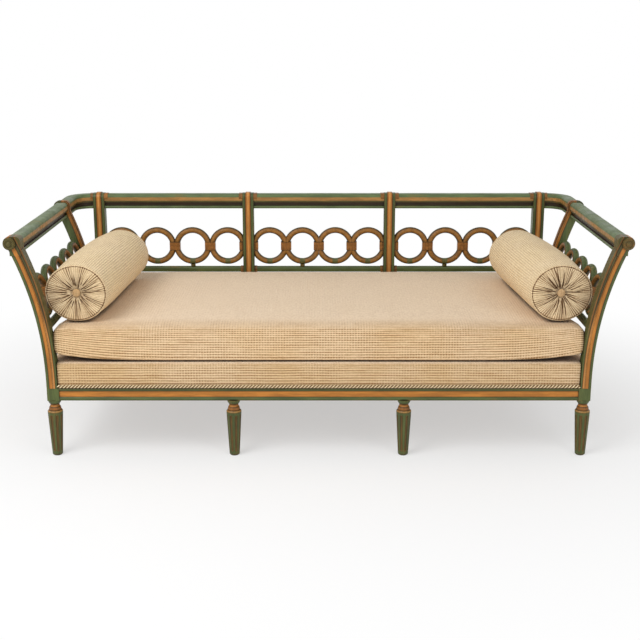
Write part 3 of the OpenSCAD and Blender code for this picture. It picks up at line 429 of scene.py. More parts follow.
for name in [n for n in cad_nodes if n.endswith("_back_post")]:
    low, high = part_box(name)
    dress([name], paint(name + "_paint", GREEN, BROWN, (1, 1, 0.12),
                        post_tint((low.x + high.x) / 2), wear=0.35))


# Outcurved posts: strips of green, orange, olive and brown follow the curve on the front.
SABRE_RISE, SABRE_X, SABRE_LEAN, SABRE_W, SABRE_WIDER = 0.506, 0.9745, 0.10375, 0.038, 0.008
STRIPS_LOW_W, STRIPS_HIGH_W, RIDGE_W = 0.040, 0.046, 0.010
GROOVE_OPENS, RIDGE_OPENS, RIDGE_EDGE = (0.42, 0.60), (0.42, 0.52), (0.0092, 0.0086)
BLOCK_TOP = (0.256, 0.259)


def sabre_parts(tree, axes):
    """How far in from a curved post's outer edge a point lies, and the post's width there."""
    rise = maths(tree, "DIVIDE", maths(tree, "MAXIMUM", maths(
        tree, "SUBTRACT", axes[2], RAIL_FACE_TOP), 0.0), SABRE_RISE)
    outer = maths(tree, "MULTIPLY_ADD", maths(tree, "POWER", rise, 2.2), SABRE_LEAN, SABRE_X)
    width = maths(tree, "MULTIPLY_ADD", maths(tree, "POWER", rise, 2.0), SABRE_WIDER, SABRE_W)
    return maths(tree, "SUBTRACT", outer, maths(tree, "ABSOLUTE", axes[0])), width


def front_post_tint(tree, place):
    axes = axes_of(tree, place)
    inward, width = sabre_parts(tree, axes)
    left = maths(tree, "SUBTRACT", width, inward)
    # At the foot the orange strip fills the middle. Higher up a groove and a ridge open inside it
    # The pale orange strip in these foot colours lies over the groove: painted light that lifts
    # the shade falling in it.
    low = ramp(tree, maths(tree, "DIVIDE", inward, STRIPS_LOW_W), [
        (0.0, GREEN), (0.20, GREEN), (0.25, DARK_OLIVE), (0.30, ORANGE), (0.54, ORANGE),
        (0.60, PALE_ORANGE), (0.68, PALE_ORANGE), (0.74, ORANGE), (0.80, DARK_OLIVE),
        (0.86, GREEN), (1.0, GREEN)])
    high = ramp(tree, maths(tree, "DIVIDE", inward, STRIPS_HIGH_W), [
        (0.0, GREEN), (0.20, GREEN), (0.25, DARK_OLIVE), (0.30, ORANGE), (0.55, ORANGE),
        (0.60, BROWN), (0.64, DARK_OLIVE), (0.70, OLIVE), (1.0, OLIVE)])
    strips = mixed(tree, smooth_between(tree, axes[2], *GROOVE_OPENS), low, high)
    ridge = ramp(tree, maths(tree, "DIVIDE", left, RIDGE_W), [
        (0.0, OLIVE), (0.04, OLIVE), (0.12, BROWN), (0.38, BROWN), (0.55, DARK_BROWN),
        (0.75, DARK_OLIVE), (1.0, DARK_OLIVE)])
    near = maths(tree, "MULTIPLY", smooth_between(tree, left, *RIDGE_EDGE),
                 smooth_between(tree, axes[2], *RIDGE_OPENS))
    strips = mixed(tree, near, strips, ridge)
    return mixed(tree, smooth_between(tree, axes[2], *BLOCK_TOP), BLOCK_GREEN, strips)


def arm_post_tint(tree, place):
    axes = axes_of(tree, place)
    inward, width = sabre_parts(tree, axes)
    return ramp(tree, maths(tree, "DIVIDE", inward, width), [
        (0.0, GREEN), (0.66, GREEN), (0.71, DARK_OLIVE), (0.76, BROWN), (0.84, ORANGE),
        (0.91, BROWN), (0.96, ORANGE), (1.0, BROWN)])


dress(["front_left_post", "front_right_post"],
      paint("front_post_paint", GREEN, BROWN, (1, 1, 0.12), front_post_tint, wear=0.3))
dress(["rear_left_arm_post", "rear_right_arm_post"],
      paint("arm_post_paint", GREEN, BROWN, (1, 1, 0.12), arm_post_tint, wear=0.35))
roundel_paint = paint("roundel_paint", OLIVE, BROWN, wear=0.8)
dress(["left_roundel", "right_roundel"], roundel_paint)
dress(["top_rail_collars"], paint("collar_paint", BROWN, ORANGE, wear=0.6, glaze=0.6))
dress(["lower_rail_collars"], paint("lower_collar_paint", BROWN, ORANGE, wear=0.5))
low_rail_paint = paint("lower_rail_paint", GREEN, BROWN, (0.15, 1, 1), wear=0.5)
dress([n for n in cad_nodes if "lower_back_rail" in n], low_rail_paint)
dress([n for n in cad_nodes if "lower_arm_rail" in n],
      paint("lower_arm_rail_paint", GREEN, BROWN, (1, 0.15, 1), wear=0.5))
dress(["ring_stubs"], paint("stub_paint", OLIVE, ORANGE, wear=0.6))

# Rings and ties: turned rings with an ochre face, dark shoulders and green rims. Reeded ties
# are bound round them.
RING_Z, RING_MID, RING_HALF = 0.577, 0.069, 0.013
LEAN_X, LEAN = 0.9984, math.radians(15.0)
STUB_PATCH_UP, STUB_PATCH_HALF = (-0.03, -0.04), (0.0125, 0.0105)
REED, TIE_RIM, BAY_EDGE = 0.0032, (0.0155, 0.0180), 0.307


def in_row(tree, place, start, pitch, side):
    """Distance along a row from the nearest ring's middle, and height in the rings' plane.
    side is 0 for the back, and 1 or -1 for the leaning rows of the arms."""
    axes = axes_of(tree, place)
    up = maths(tree, "SUBTRACT", axes[2], RING_Z)
    if side:
        run = axes[1]
        out = maths(tree, "SUBTRACT", maths(tree, "MULTIPLY", axes[0], side), LEAN_X)
        up = maths(tree, "ADD", maths(tree, "MULTIPLY", up, math.cos(LEAN)),
                   maths(tree, "MULTIPLY", out, math.sin(LEAN)))
    else:
        run = axes[0]
    off = maths(tree, "WRAP", maths(tree, "SUBTRACT", run, start), pitch / 2, -pitch / 2)
    return off, up


def ring_tint(start, pitch, side):
    def tint(tree, place):
        off, up = in_row(tree, place, start, pitch, side)
        radius = maths(tree, "SQRT", maths(tree, "ADD", maths(tree, "MULTIPLY", off, off),
                                           maths(tree, "MULTIPLY", up, up)))
        across = maths(tree, "MULTIPLY_ADD", maths(tree, "DIVIDE", maths(
            tree, "SUBTRACT", radius, RING_MID), RING_HALF), 0.5, 0.5)
        if side:
            face = ramp(tree, across, [(0.0, DARK_OLIVE), (0.12, BROWN), (0.40, OCHRE),
                                       (0.56, BROWN), (0.64, DARK_BROWN), (0.72, GREEN),
                                       (1.0, GREEN)])
        else:
            face = ramp(tree, across, [(0.0, OLIVE), (0.06, DARK_OLIVE), (0.18, BROWN),
                                       (0.45, OCHRE), (0.62, OCHRE), (0.82, BROWN),
                                       (0.93, DARK_OLIVE), (1.0, OLIVE)])
        patch = maths(tree, "MULTIPLY", smooth_between(tree, up, *STUB_PATCH_UP),
                      smooth_between(tree, maths(tree, "ABSOLUTE", off), *STUB_PATCH_HALF))
        return mixed(tree, maths(tree, "MULTIPLY", patch, 0.85), face, GREEN)
    return tint


def tie_tint(start, pitch, side):
    def tint(tree, place):
        off, up = in_row(tree, place, start + pitch / 2, pitch, side)
        reed = maths(tree, "ABSOLUTE", maths(tree, "WRAP", up, REED, -REED))
        face = ramp(tree, maths(tree, "DIVIDE", reed, REED),
                    [(0.0, OCHRE), (0.5, REDDISH), (0.85, BROWN), (1.0, DARK_BROWN)])
        rim = smooth_between(tree, maths(tree, "ABSOLUTE", up), *TIE_RIM)
        return mixed(tree, rim, face, DARK_OLIVE)
    return tint


# Each row of rings: the place of its first ring, its pitch and its side
rows = {
    "left_bay": (-0.861, 0.154, 0), "centre_bay": (-0.215, 0.14333, 0),
    "right_bay": (0.399, 0.154, 0), "left_arm": (-0.421, 0.15225, -1),
    "right_arm": (-0.421, 0.15225, 1),
}
for row, (start, pitch, side) in rows.items():
    dress([row + "_rings"], paint(row + "_ring_paint", BROWN, ORANGE, (1, 1, 1),
                                  ring_tint(start, pitch, side), wear=0.35))
for row in ("left_arm", "right_arm"):
    start, pitch, side = rows[row]
    dress([row + "_ring_ties"], paint(row + "_tie_paint", BROWN, ORANGE, (1, 1, 1),
                                      tie_tint(start, pitch, side), wear=0.3))
dress(["back_ring_ties"], *[
    paint(row + "_tie_paint", BROWN, ORANGE, (1, 1, 1), tie_tint(*rows[row]), wear=0.3)
    for row in ("left_bay", "centre_bay", "right_bay")])
middle, normal = faces_of("back_ring_ties")
sort_faces("back_ring_ties", 1 + (middle[:, 0] > BAY_EDGE).astype(int)
           - (middle[:, 0] < -BAY_EDGE).astype(int))

# Webbing and hessian under the seat.
# Twelve jute straps run front to back and six side to side, woven over and under each other
# and tacked to the rails. Hessian is stretched over them.
STRAP_W, STRAP_T = 0.060, 0.002
RAIL_TOP = 0.300
SEAT_HALF = 0.953
LONG_STRAPS, CROSS_STRAPS = 6, 12
CROSS_ENDS, LONG_ENDS = (-0.5175, 0.4985), (-0.935, 0.935)
FIRST_Y, LAST_Y = -0.4295, 0.429
STRAP_CUT, ACROSS_CUTS = 0.02, 6
WEAVE_RISE, STRAP_LIFT = 0.0010, 0.0006


def woven_jute(name, light, dark, pitch):
    """Plain weave of coarse yarn: two sets of ribs, one over the other in turn."""
    made, tree, shader = plain_material(name)
    place = node(tree, "TexCoord").outputs["Object"]
    axes = axes_of(tree, place)
    turn = 2 * math.pi / pitch
    warp = maths(tree, "SINE", maths(tree, "MULTIPLY", axes[0], turn))
    weft = maths(tree, "SINE", maths(tree, "MULTIPLY", axes[1], turn))
    weave = maths(tree, "MULTIPLY", warp, weft)
    fuzz = noise(tree, place, 220.0, 5.0)
    tone = mixed(tree, smooth_between(tree, maths(tree, "MULTIPLY_ADD", fuzz, 1.2, weave),
                                      -0.2, 1.3), dark, light)
    surface(tree, shader, tone, 0.9, weave, strength=0.5, depth=0.0008)
    return made


jute = woven_jute("jute_webbing", colour(190, 160, 112), colour(128, 98, 62), pitch=0.0044)
hessian_cloth = woven_jute("hessian_cloth", colour(182, 150, 104), colour(116, 88, 54),
                           pitch=0.0026)

# The outermost cross straps stand a ninth of the half length in from the ends of the seat
half_run = SEAT_HALF - SEAT_HALF / 9
strap_x = [-half_run + 2 * half_run * k / (CROSS_STRAPS - 1) for k in range(CROSS_STRAPS)]
strap_y = [FIRST_Y + (LAST_Y - FIRST_Y) * k / (LONG_STRAPS - 1) for k in range(LONG_STRAPS)]


def finish_piece(name, *materials):
    """Names the piece in hand, sets its place into its mesh and gives it its materials."""
    piece = bpy.context.object
    bpy.ops.object.transform_apply(location=True, rotation=True, scale=True)
    piece.name = name
    piece.data.name = name
    piece.data.materials.clear()
    for material in materials:
        piece.data.materials.append(material)
    return piece


def joined(pieces):
    """Makes several meshes one, which is then the piece in hand."""
    bpy.ops.object.select_all(action="DESELECT")
    for piece in pieces:
        piece.select_set(True)
    bpy.context.view_layer.objects.active = pieces[-1]
    bpy.ops.object.transform_apply(location=True, rotation=True, scale=True)
    bpy.ops.object.join()


def shaped(piece, kind, **settings):
    """Shapes the piece in hand with a modifier, and applies it."""
    step = piece.modifiers.new("step", kind)
    for key, value in settings.items():
        setattr(step, key, value)
    bpy.ops.object.modifier_apply(modifier=step.name)


def strap(lengthwise, at, start, end, crossings, flip):
    """One strap, a strip cut fine enough to ride over and under the straps that it meets."""
    long = end - start
    size = (long, STRAP_W) if lengthwise else (STRAP_W, long)
    centre = (start + long / 2, at) if lengthwise else (at, start + long / 2)
    cuts = max(8, round(long / STRAP_CUT))
    grid = (cuts, ACROSS_CUTS) if lengthwise else (ACROSS_CUTS, cuts)
    bpy.ops.mesh.primitive_grid_add(x_subdivisions=grid[0], y_subdivisions=grid[1], size=1,
                                    location=(*centre, RAIL_TOP + STRAP_T))
    made = bpy.context.object
    made.scale = (*size, 1)
    bpy.ops.object.transform_apply(location=True, rotation=True, scale=True)
    step = crossings[1] - crossings[0]
    for v in made.data.vertices:
        along = v.co.x if lengthwise else v.co.y
        wave = math.cos(math.pi * (along - crossings[0]) / step)
        v.co.z += flip * WEAVE_RISE * max(-1.0, min(1.0, 1.4 * wave)) + STRAP_LIFT
    return made


for lengthwise, places, crossings, (start, end), words in (
        (False, strap_x, strap_y, CROSS_ENDS, "front_to_back"),
        (True, strap_y, strap_x, LONG_ENDS, "side_to_side")):
    first = 1 if lengthwise else -1
    joined([strap(lengthwise, at, start, end, crossings, -first if k % 2 else first)
            for k, at in enumerate(places)])
    webbing = finish_piece("webbing_" + words, jute)
    shaped(webbing, "SOLIDIFY", thickness=STRAP_T * 0.8, offset=0)
    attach(webbing, "frame")
    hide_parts(words + "_webbing")
    bpy.ops.object.select_all(action="DESELECT")

HESSIAN_Z, HESSIAN_EASE, HESSIAN_LUMPS = 0.3048, 0.004, 0.0004
low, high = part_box("deck_hessian")
flat_size = (high.x - low.x - HESSIAN_EASE, high.y - low.y - HESSIAN_EASE)
bpy.ops.mesh.primitive_grid_add(x_subdivisions=96, y_subdivisions=50, size=1,
                                location=(0, (low.y + high.y) / 2, HESSIAN_Z))
bpy.context.object.scale = (*flat_size, 1)
hessian = finish_piece("hessian_sheet", hessian_cloth)
for v in hessian.data.vertices:
    v.co.z += HESSIAN_LUMPS * math.sin(v.co.x * 47) * math.sin(v.co.y * 61)
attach(hessian, "frame")
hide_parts("deck_hessian")
bpy.ops.object.select_all(action="DESELECT")

# Deck: padding, cover and gimp.
# A layer of hair padding lies on the hessian. The ribbed cotton cover is drawn over it, tacked
# to the rails, and a twisted gimp cord hides the tacks.
CREAM = colour(234, 201, 156)
# The deck's cream is a darker copy of the cushion's: painted shade for the deck under the cushion.
SHADED_DECK_CREAM = colour(222, 190, 144)
# A paler copy of the same cotton: painted light on the bolsters.
LIT_BOLSTER_CREAM = colour(252, 228, 184)
TAN = colour(172, 130, 82)
# Pale patches of the cloth, and painted light on faces that look up.
PALE_PATCH_AND_LIT_TOP_TONE = colour(246, 224, 196)
GROOVE_SHADE = colour(142, 100, 52)
RIB = 0.0098


def ribbed_cotton(name, coordinate, across, pitch, cloth, depth=0.95, fade=None, crease=None,
                  reach=0.022):
    """Ribbed cotton. coordinate and across make two sockets in metres: over the ribs and
    along them. Patches of the ribs are broken into small squares by the weft. The grooves
    between the ribs are darkened as painted shade, and the cloth darkens as painted shade in
    hollows and under things within reach. fade, where given, paints light: it lightens the
    cloth and thins the groove shade. A fold mark, where given, paints shade in folds."""
    made, tree, shader = plain_material(name)
    place = node(tree, "TexCoord").outputs["Object"]
    over, run = coordinate(tree, place), across(tree, place)
    wander = noise(tree, place, 9.0, 3.0)
    over = maths(tree, "MULTIPLY_ADD", wander, pitch * 0.35, over)
    rib = maths(tree, "COSINE", maths(tree, "MULTIPLY", over, 2 * math.pi / pitch))
    cell = maths(tree, "COSINE", maths(tree, "MULTIPLY", run, 2 * math.pi / RIB))
    patch = smooth_between(tree, noise(tree, place, 7.0, 4.0), 0.38, 0.60, 0.15, 1.0)
    fine = maths(tree, "COSINE", maths(tree, "MULTIPLY", run, 2 * math.pi / (RIB * 0.32)))
    streak = noise(tree, stretched(tree, place, (1, 1, 14)), 9.0, 5.0, 0.7)
    height = maths(tree, "MULTIPLY_ADD", maths(tree, "MULTIPLY", cell, patch), 0.5, rib)
    height = maths(tree, "MULTIPLY_ADD", fine, 0.06, height)
    # Painted shade: the grooves between the ribs are darkened, by depth and in streaks.
    shade = smooth_between(tree, height, 0.1, -0.95)
    groove = maths(tree, "MULTIPLY", shade, smooth_between(tree, streak, 0.3, 0.62, depth * 0.5,
                                                           depth))
    if fade:
        groove = maths(tree, "MULTIPLY", groove, fade(tree, place))
    cloud = noise(tree, place, 3.2, 4.0)
    speck = noise(tree, place, 120.0, 3.0, 0.7)
    body = mixed(tree, smooth_between(tree, cloud, 0.35, 0.68, 0.0, 0.3), cloth, PALE_PATCH_AND_LIT_TOP_TONE)
    body = mixed(tree, smooth_between(tree, streak, 0.5, 0.75, 0.0, depth * 0.3), body, TAN)
    if fade:
        body = mixed(tree, fade(tree, place), PALE_PATCH_AND_LIT_TOP_TONE, body)
    body = mixed(tree, smooth_between(tree, speck, 0.38, 0.66, 0.0, 0.24), body, TAN)
    tone = mixed(tree, groove, body, GROOVE_SHADE)
    # Painted shade in the folds of the gathered ends, darkest in the deepest part.
    if crease:
        mark = crease(tree, place)
        tone = mixed(tree, mark, tone, colour(120, 74, 24))
        tone = mixed(tree, smooth_between(tree, mark, 0.72, 0.92, 0.0, 0.75), tone,
                     colour(56, 34, 14))
    # Painted shade: the cloth darkens in hollows and under things within reach.
    tone = mixed(tree, smooth_between(tree, hollows(tree, reach), 0.7, 0.15, 0.0, 0.85), tone,
                 colour(88, 58, 30))
    shader.inputs["Specular IOR Level"].default_value = 0.25
    shader.inputs["Sheen Weight"].default_value = 0.06
    shader.inputs["Sheen Roughness"].default_value = 0.5
    surface(tree, shader, tone, 0.88, height, strength=0.6, depth=0.0012)
    return made


def map_axes(tree, name):
    """What a piece's own map holds."""
    return axes_of(tree, node(tree, "UVMap", uv_map=name).outputs[0])


def over_ribs(tree, place):
    return map_axes(tree, "ribs")[1]


def along_ribs(tree, place):
    return map_axes(tree, "ribs")[0]


def map_ribs(piece, place_of):
    """Writes how far along and over the ribs each corner of each face lies, in metres."""
    mesh = piece.data
    layer = mesh.uv_layers.new(name="ribs")
    for face in mesh.polygons:
        for loop in face.loop_indices:
            spot = mesh.vertices[mesh.loops[loop].vertex_index].co
            layer.data[loop].uv = place_of(spot, face)


PADDING_EASE, PADDING_EASE_Z, PADDING_CUTS, LUMPS, LUMPS_OVER = 0.012, 0.004, 20, 0.0015, 0.32
low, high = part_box("deck_padding")
bpy.ops.mesh.primitive_cube_add(size=1, location=(low + high) / 2)
bpy.context.object.scale = (high.x - low.x - PADDING_EASE, high.y - low.y - PADDING_EASE,
                            high.z - low.z - PADDING_EASE_Z)
hair, tree, shader = plain_material("hair_padding")
tangle = noise(tree, node(tree, "TexCoord").outputs["Object"], 90.0, 8.0, 0.75)
tone = mixed(tree, smooth_between(tree, tangle, 0.35, 0.65), colour(206, 192, 164),
             colour(150, 130, 100))
surface(tree, shader, tone, 0.95, tangle, strength=0.7, depth=0.002)
padding = finish_piece("padding_layer", hair)
bpy.ops.object.mode_set(mode="EDIT")
bpy.ops.mesh.select_all(action="SELECT")
bpy.ops.mesh.subdivide(number_cuts=PADDING_CUTS)
bpy.ops.object.mode_set(mode="OBJECT")
lumps = random.Random(4)
for v in padding.data.vertices:
    v.co.z += lumps.uniform(-LUMPS, 0.0) if v.co.z > LUMPS_OVER else 0.0
bpy.ops.object.shade_smooth()
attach(padding, "frame")
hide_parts("deck_padding")
bpy.ops.object.select_all(action="DESELECT")

# The cover starts as one cloth over the whole seat, cut away round the posts. Its edges are
# turned down to the rails, and it is drawn tight with a slight swell.
COVER_X, COVER_FRONT, COVER_REAR, COVER_TOP = 0.966, -0.524, 0.483, 0.350
COVER_FOOT, COVER_BACK_FOOT, EDGE_R = 0.2585, 0.3025, 0.018
COVER_T, COVER_STEP, DOWN_CUTS = 0.0025, 0.012, 9
POST_X, FRONT_POST_Y, BACK_POST_Y = 0.935, -0.4875, 0.4860
ARM_POST_LOW, ARM_POST_HIGH = 0.2545, 0.3015
BEYOND = 2.0
BACK_STRIP, POST_ROOM = 0.013, 0.001
TIGHT_X, TIGHT_TOP, TIGHT_FRONT = 0.925, 0.019, 0.003
TIGHT_SWELL, TIGHT_RIPPLE = 0.0022, 0.0005
notches = [(-BEYOND, FRONT_POST_Y), (ARM_POST_LOW, ARM_POST_HIGH), (BACK_POST_Y, BEYOND)]


def spaced(low, high, marks, step):
    """Places between two ends, close together at the marks and about a step apart."""
    near = [0.0, 0.0015, 0.004, 0.0075, 0.012, 0.018]
    fixed = sorted({round(low + d, 5) for d in near} | {round(high - d, 5) for d in near}
                   | {round(m, 5) for m in marks if low < m < high})
    places = []
    for a, b in zip(fixed, fixed[1:]):
        count = max(1, round((b - a) / step))
        places += [a + (b - a) * k / count for k in range(count)]
    return places + [fixed[-1]]


cover_xs = spaced(-COVER_X, COVER_X, [-POST_X, POST_X], COVER_STEP)
cover_ys = spaced(COVER_FRONT, COVER_REAR, [FRONT_POST_Y, ARM_POST_LOW, ARM_POST_HIGH],
                  COVER_STEP)
bpy.ops.mesh.primitive_grid_add(x_subdivisions=len(cover_xs) - 1,
                                y_subdivisions=len(cover_ys) - 1, size=1)
cover = bpy.context.object
for v in cover.data.vertices:
    column = round((v.co.x + 0.5) * (len(cover_xs) - 1))
    line = round((v.co.y + 0.5) * (len(cover_ys) - 1))
    v.co = (cover_xs[column], cover_ys[line], COVER_TOP)
bm = bmesh.new()
bm.from_mesh(cover.data)


def in_notch(p):
    return POST_X < abs(p.x) and any(y0 < p.y < y1 for y0, y1 in notches)


bmesh.ops.delete(bm, geom=[f for f in bm.faces if in_notch(f.calc_center_median())],
                 context="FACES")


def edge_drop(inside):
    """How far the rounded edge has fallen at a distance inside the outer face."""
    if inside >= EDGE_R:
        return 0.0
    return EDGE_R - math.sqrt(max(0.0, EDGE_R ** 2 - (EDGE_R - inside) ** 2))


def clipped(share):
    """Keeps a share between 0 and 1."""
    return min(1.0, max(0.0, share))


for v in bm.verts:
    p = v.co
    drop = max(edge_drop(COVER_X - abs(p.x)), edge_drop(p.y - COVER_FRONT),
               edge_drop(COVER_REAR - p.y))
    v.co.z = COVER_TOP - drop
rim = [e for e in bm.edges if e.is_boundary]
for level in range(DOWN_CUTS):
    made = bmesh.ops.extrude_edge_only(bm, edges=rim)["geom"]
    fresh = [g for g in made if isinstance(g, bmesh.types.BMVert)]
    rim = [e for e in made if isinstance(e, bmesh.types.BMEdge) and e.is_boundary
           and all(v in set(fresh) for v in e.verts)]
    for v in fresh:
        at_back = v.co.y > COVER_REAR - BACK_STRIP and abs(v.co.x) < POST_X + POST_ROOM
        foot = COVER_BACK_FOOT if at_back else COVER_FOOT
        v.co.z += (foot - v.co.z) / (DOWN_CUTS - level)
bm.normal_update()
bmesh.ops.recalc_face_normals(bm, faces=bm.faces)
bm.to_mesh(cover.data)
bm.free()
cover.data.update()
top = [f for f in cover.data.polygons if f.center.z > COVER_TOP - 0.0001]
if top and top[0].normal.z < 0:
    cover.data.flip_normals()
pull = random.Random(11)
waves = [(pull.uniform(14, 60), pull.uniform(0, 6.28), pull.uniform(0.15, 0.5)) for k in range(7)]
for v in cover.data.vertices:
    p = v.co
    if (p.z < COVER_TOP - TIGHT_TOP and abs(p.x) < TIGHT_X
            and p.y < COVER_FRONT + TIGHT_FRONT):
        share = (p.z - COVER_FOOT) / (COVER_TOP - EDGE_R - COVER_FOOT)
        swell = math.sin(math.pi * clipped(share)) * TIGHT_SWELL
        ripple = sum(a * math.sin(f * p.x + s) for f, s, a in waves) * TIGHT_RIPPLE
        p.y -= swell + ripple * share
bpy.context.view_layer.objects.active = cover
cover.select_set(True)
shaped(cover, "SOLIDIFY", thickness=COVER_T, offset=-1)
bpy.ops.object.shade_smooth_by_angle(angle=math.radians(50))
map_ribs(cover, lambda p, face: (p.x if abs(face.normal.x) < 0.7 else p.y,
                                 p.z if abs(face.normal.x) > 0.7 else p.z + p.y))


def lit_top_fade(tree, place):
    """1 on the sides, and 0.1 on faces that look up. There it paints light: the cloth takes the
    pale top tone, and the painted shade in the rib grooves nearly goes.
    """
    lift = axes_of(tree, node(tree, "NewGeometry").outputs["Normal"])[2]
    return smooth_between(tree, lift, 0.70, 0.97, 1.0, 0.10)


# The deck's cloth is darkened as painted shade wherever a hollow or the cushion above lies within
# 6 cm.
deck_fabric = ribbed_cotton("deck_fabric", over_ribs, along_ribs, RIB, SHADED_DECK_CREAM,
                            fade=lit_top_fade, reach=0.06)
cover = finish_piece("deck_cover_cloth", deck_fabric)
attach(cover, "frame")
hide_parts("deck_cover")
bpy.ops.object.select_all(action="DESELECT")

# The gimp is two strands of cream cotton twisted together with two thin dark strands in the
# valleys between them; the dark strands are painted shade for the gaps of the twist.
# Each strand is a small ring swept along the twist, and they are one piece, glued along the foot
# of the cover.
GIMP_R, STRAND_R, SHADE_STRAND_R, SHADE_STRAND_IN, TWIST = 0.0062, 0.0031, 0.0021, 0.0004, 0.0253
STRAND_SIDES, TURN_STEPS = 8, 12


def twisted_cord(name, start, end):
    """A straight run of twisted cord between two points that differ along one axis."""
    start, end = Vector(start), Vector(end)
    long = (end - start).length
    turns = max(1, round(long / TWIST))
    strands = []
    for k in range(4):
        radius = SHADE_STRAND_R if k % 2 else STRAND_R
        bpy.ops.mesh.primitive_circle_add(
            vertices=STRAND_SIDES, radius=radius, fill_type="NGON",
            location=(GIMP_R - SHADE_STRAND_IN * (k % 2) - radius, 0, 0), rotation=(math.pi / 2, 0, 0))
        bpy.ops.object.transform_apply(location=True, rotation=True, scale=True)
        strand = bpy.context.object
        shaped(strand, "SCREW", axis="Z", angle=-2 * math.pi, screw_offset=long / turns,
               iterations=turns, steps=TURN_STEPS, render_steps=TURN_STEPS)
        shade_strand_mark = strand.data.uv_layers.new(name="yarn")
        for loop in shade_strand_mark.data:
            loop.uv = (k % 2, 0.5)
        strand.rotation_euler.z = k * math.pi / 2
        strands.append(strand)
    joined(strands)
    bpy.ops.object.mode_set(mode="EDIT")
    bpy.ops.mesh.select_all(action="SELECT")
    bpy.ops.mesh.remove_doubles(threshold=0.0001)
    bpy.ops.mesh.normals_make_consistent(inside=False)
    bpy.ops.object.mode_set(mode="OBJECT")
    bpy.ops.object.shade_smooth()
    cord = bpy.context.object
    cord.rotation_euler = (end - start).to_track_quat("Z", "Y").to_euler()
    cord.location = start
    return finish_piece(name, gimp_cotton)


gimp_cotton, tree, shader = plain_material("gimp_cotton")
yarn = noise(tree, node(tree, "TexCoord").outputs["Object"], 900.0, 3.0)
tone = mixed(tree, smooth_between(tree, yarn, 0.4, 0.62), colour(250, 234, 196),
             colour(226, 198, 148))
# The thin strands are dark brown: painted shade in the valleys of the twist.
tone = mixed(tree, map_axes(tree, "yarn")[0], tone, colour(132, 96, 52))
# Painted shade: darker in the hollows between the strands.
tone = mixed(tree, smooth_between(tree, hollows(tree, reach=0.006), 0.85, 0.4, 0.0, 0.9), tone,
             colour(84, 58, 28))
surface(tree, shader, tone, 0.7, yarn, strength=0.5, depth=0.0005)

# One run lies along the front between the posts, and two on each side, before and behind the
# arm post. They end just clear of the posts, but reach a little past the face of the back post
PAST_BACK_POST = 0.0025
gimp_z = RAIL_FACE_TOP + GIMP_R
gimp_y = COVER_FRONT - GIMP_R
runs = [((-POST_X, gimp_y, gimp_z), (POST_X, gimp_y, gimp_z))]
for side in (-1, 1):
    x = side * (COVER_X + GIMP_R)
    for start, end in ((FRONT_POST_Y - POST_ROOM, ARM_POST_LOW + POST_ROOM),
                       (ARM_POST_HIGH - POST_ROOM, BACK_POST_Y + PAST_BACK_POST)):
        runs.append(((x, start, gimp_z), (x, end, gimp_z)))
joined([twisted_cord("gimp_run", a, b) for a, b in runs])
gimp = finish_piece("deck_gimp_twist", gimp_cotton)
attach(gimp, "frame")
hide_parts("deck_gimp_cord")
bpy.ops.object.select_all(action="DESELECT")


# Seat cushion.
# One long feather and foam cushion in ribbed cotton, boxed, soft at its edges and curled up a
# little at its front corners. The cloth is blown up a little over its filling.
EASE_X, EASE_Y = 0.002, 0.004
VOXEL, PRESSURE, MOST_MOVE, MOMENTS = 0.012, 4, 0.008, 20
CROWN, BOLSTER_FROM, BOLSTER_BLEND = 0.004, 0.60, 0.08
PAST_END, PAST_FRONT = 0.001, 0.003


def copy_of(name, piece_name):
    """A merged copy of a CAD node's mesh, as a new object in hand."""
    made = bpy.data.objects.new(piece_name, cad_nodes[name].data.copy())
    scene.collection.objects.link(made)
    bpy.context.view_layer.objects.active = made
    made.select_set(True)
    bpy.ops.object.mode_set(mode="EDIT")
    bpy.ops.mesh.select_all(action="SELECT")
    bpy.ops.mesh.remove_doubles(threshold=0.0002)
    bpy.ops.mesh.normals_make_consistent(inside=False)
    bpy.ops.object.mode_set(mode="OBJECT")
    return made


def blown_up(piece):
    """Fills a closed cloth with air for a moment, and lets no point move past the cap."""
    piece.data.remesh_voxel_size = VOXEL
    bpy.ops.object.voxel_remesh()
    before = np.empty(len(piece.data.vertices) * 3)
    piece.data.vertices.foreach_get("co", before)
    air = piece.modifiers.new("air", "CLOTH")
    air.settings.use_pressure = True
    air.settings.uniform_pressure_force = PRESSURE
    air.settings.effector_weights.gravity = 0
    air.settings.quality = 4
    air.settings.tension_stiffness = 30
    air.settings.bending_stiffness = 4
    air.collision_settings.use_collision = False
    air.point_cache.frame_start = 1
    air.point_cache.frame_end = MOMENTS
    for moment in range(1, MOMENTS + 1):
        scene.frame_set(moment)
    bpy.ops.object.modifier_apply(modifier="air")
    scene.frame_set(1)
    after = np.empty_like(before)
    piece.data.vertices.foreach_get("co", after)
    before, after = before.reshape(-1, 3), after.reshape(-1, 3)
    move = after - before
    far = np.linalg.norm(move, axis=1, keepdims=True)
    after = before + move * np.minimum(1.0, MOST_MOVE / np.maximum(far, 1e-9))
    return before, after


cushion = copy_of("seat_cushion", "cushion")
low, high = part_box("seat_cushion")
centre = (low + high) / 2
for v in cushion.data.vertices:
    v.co.x = centre.x + (v.co.x - centre.x) * (1 - EASE_X / (high.x - low.x))
    v.co.y = centre.y + (v.co.y - centre.y) * (1 - EASE_Y / (high.y - low.y))
before, after = blown_up(cushion)
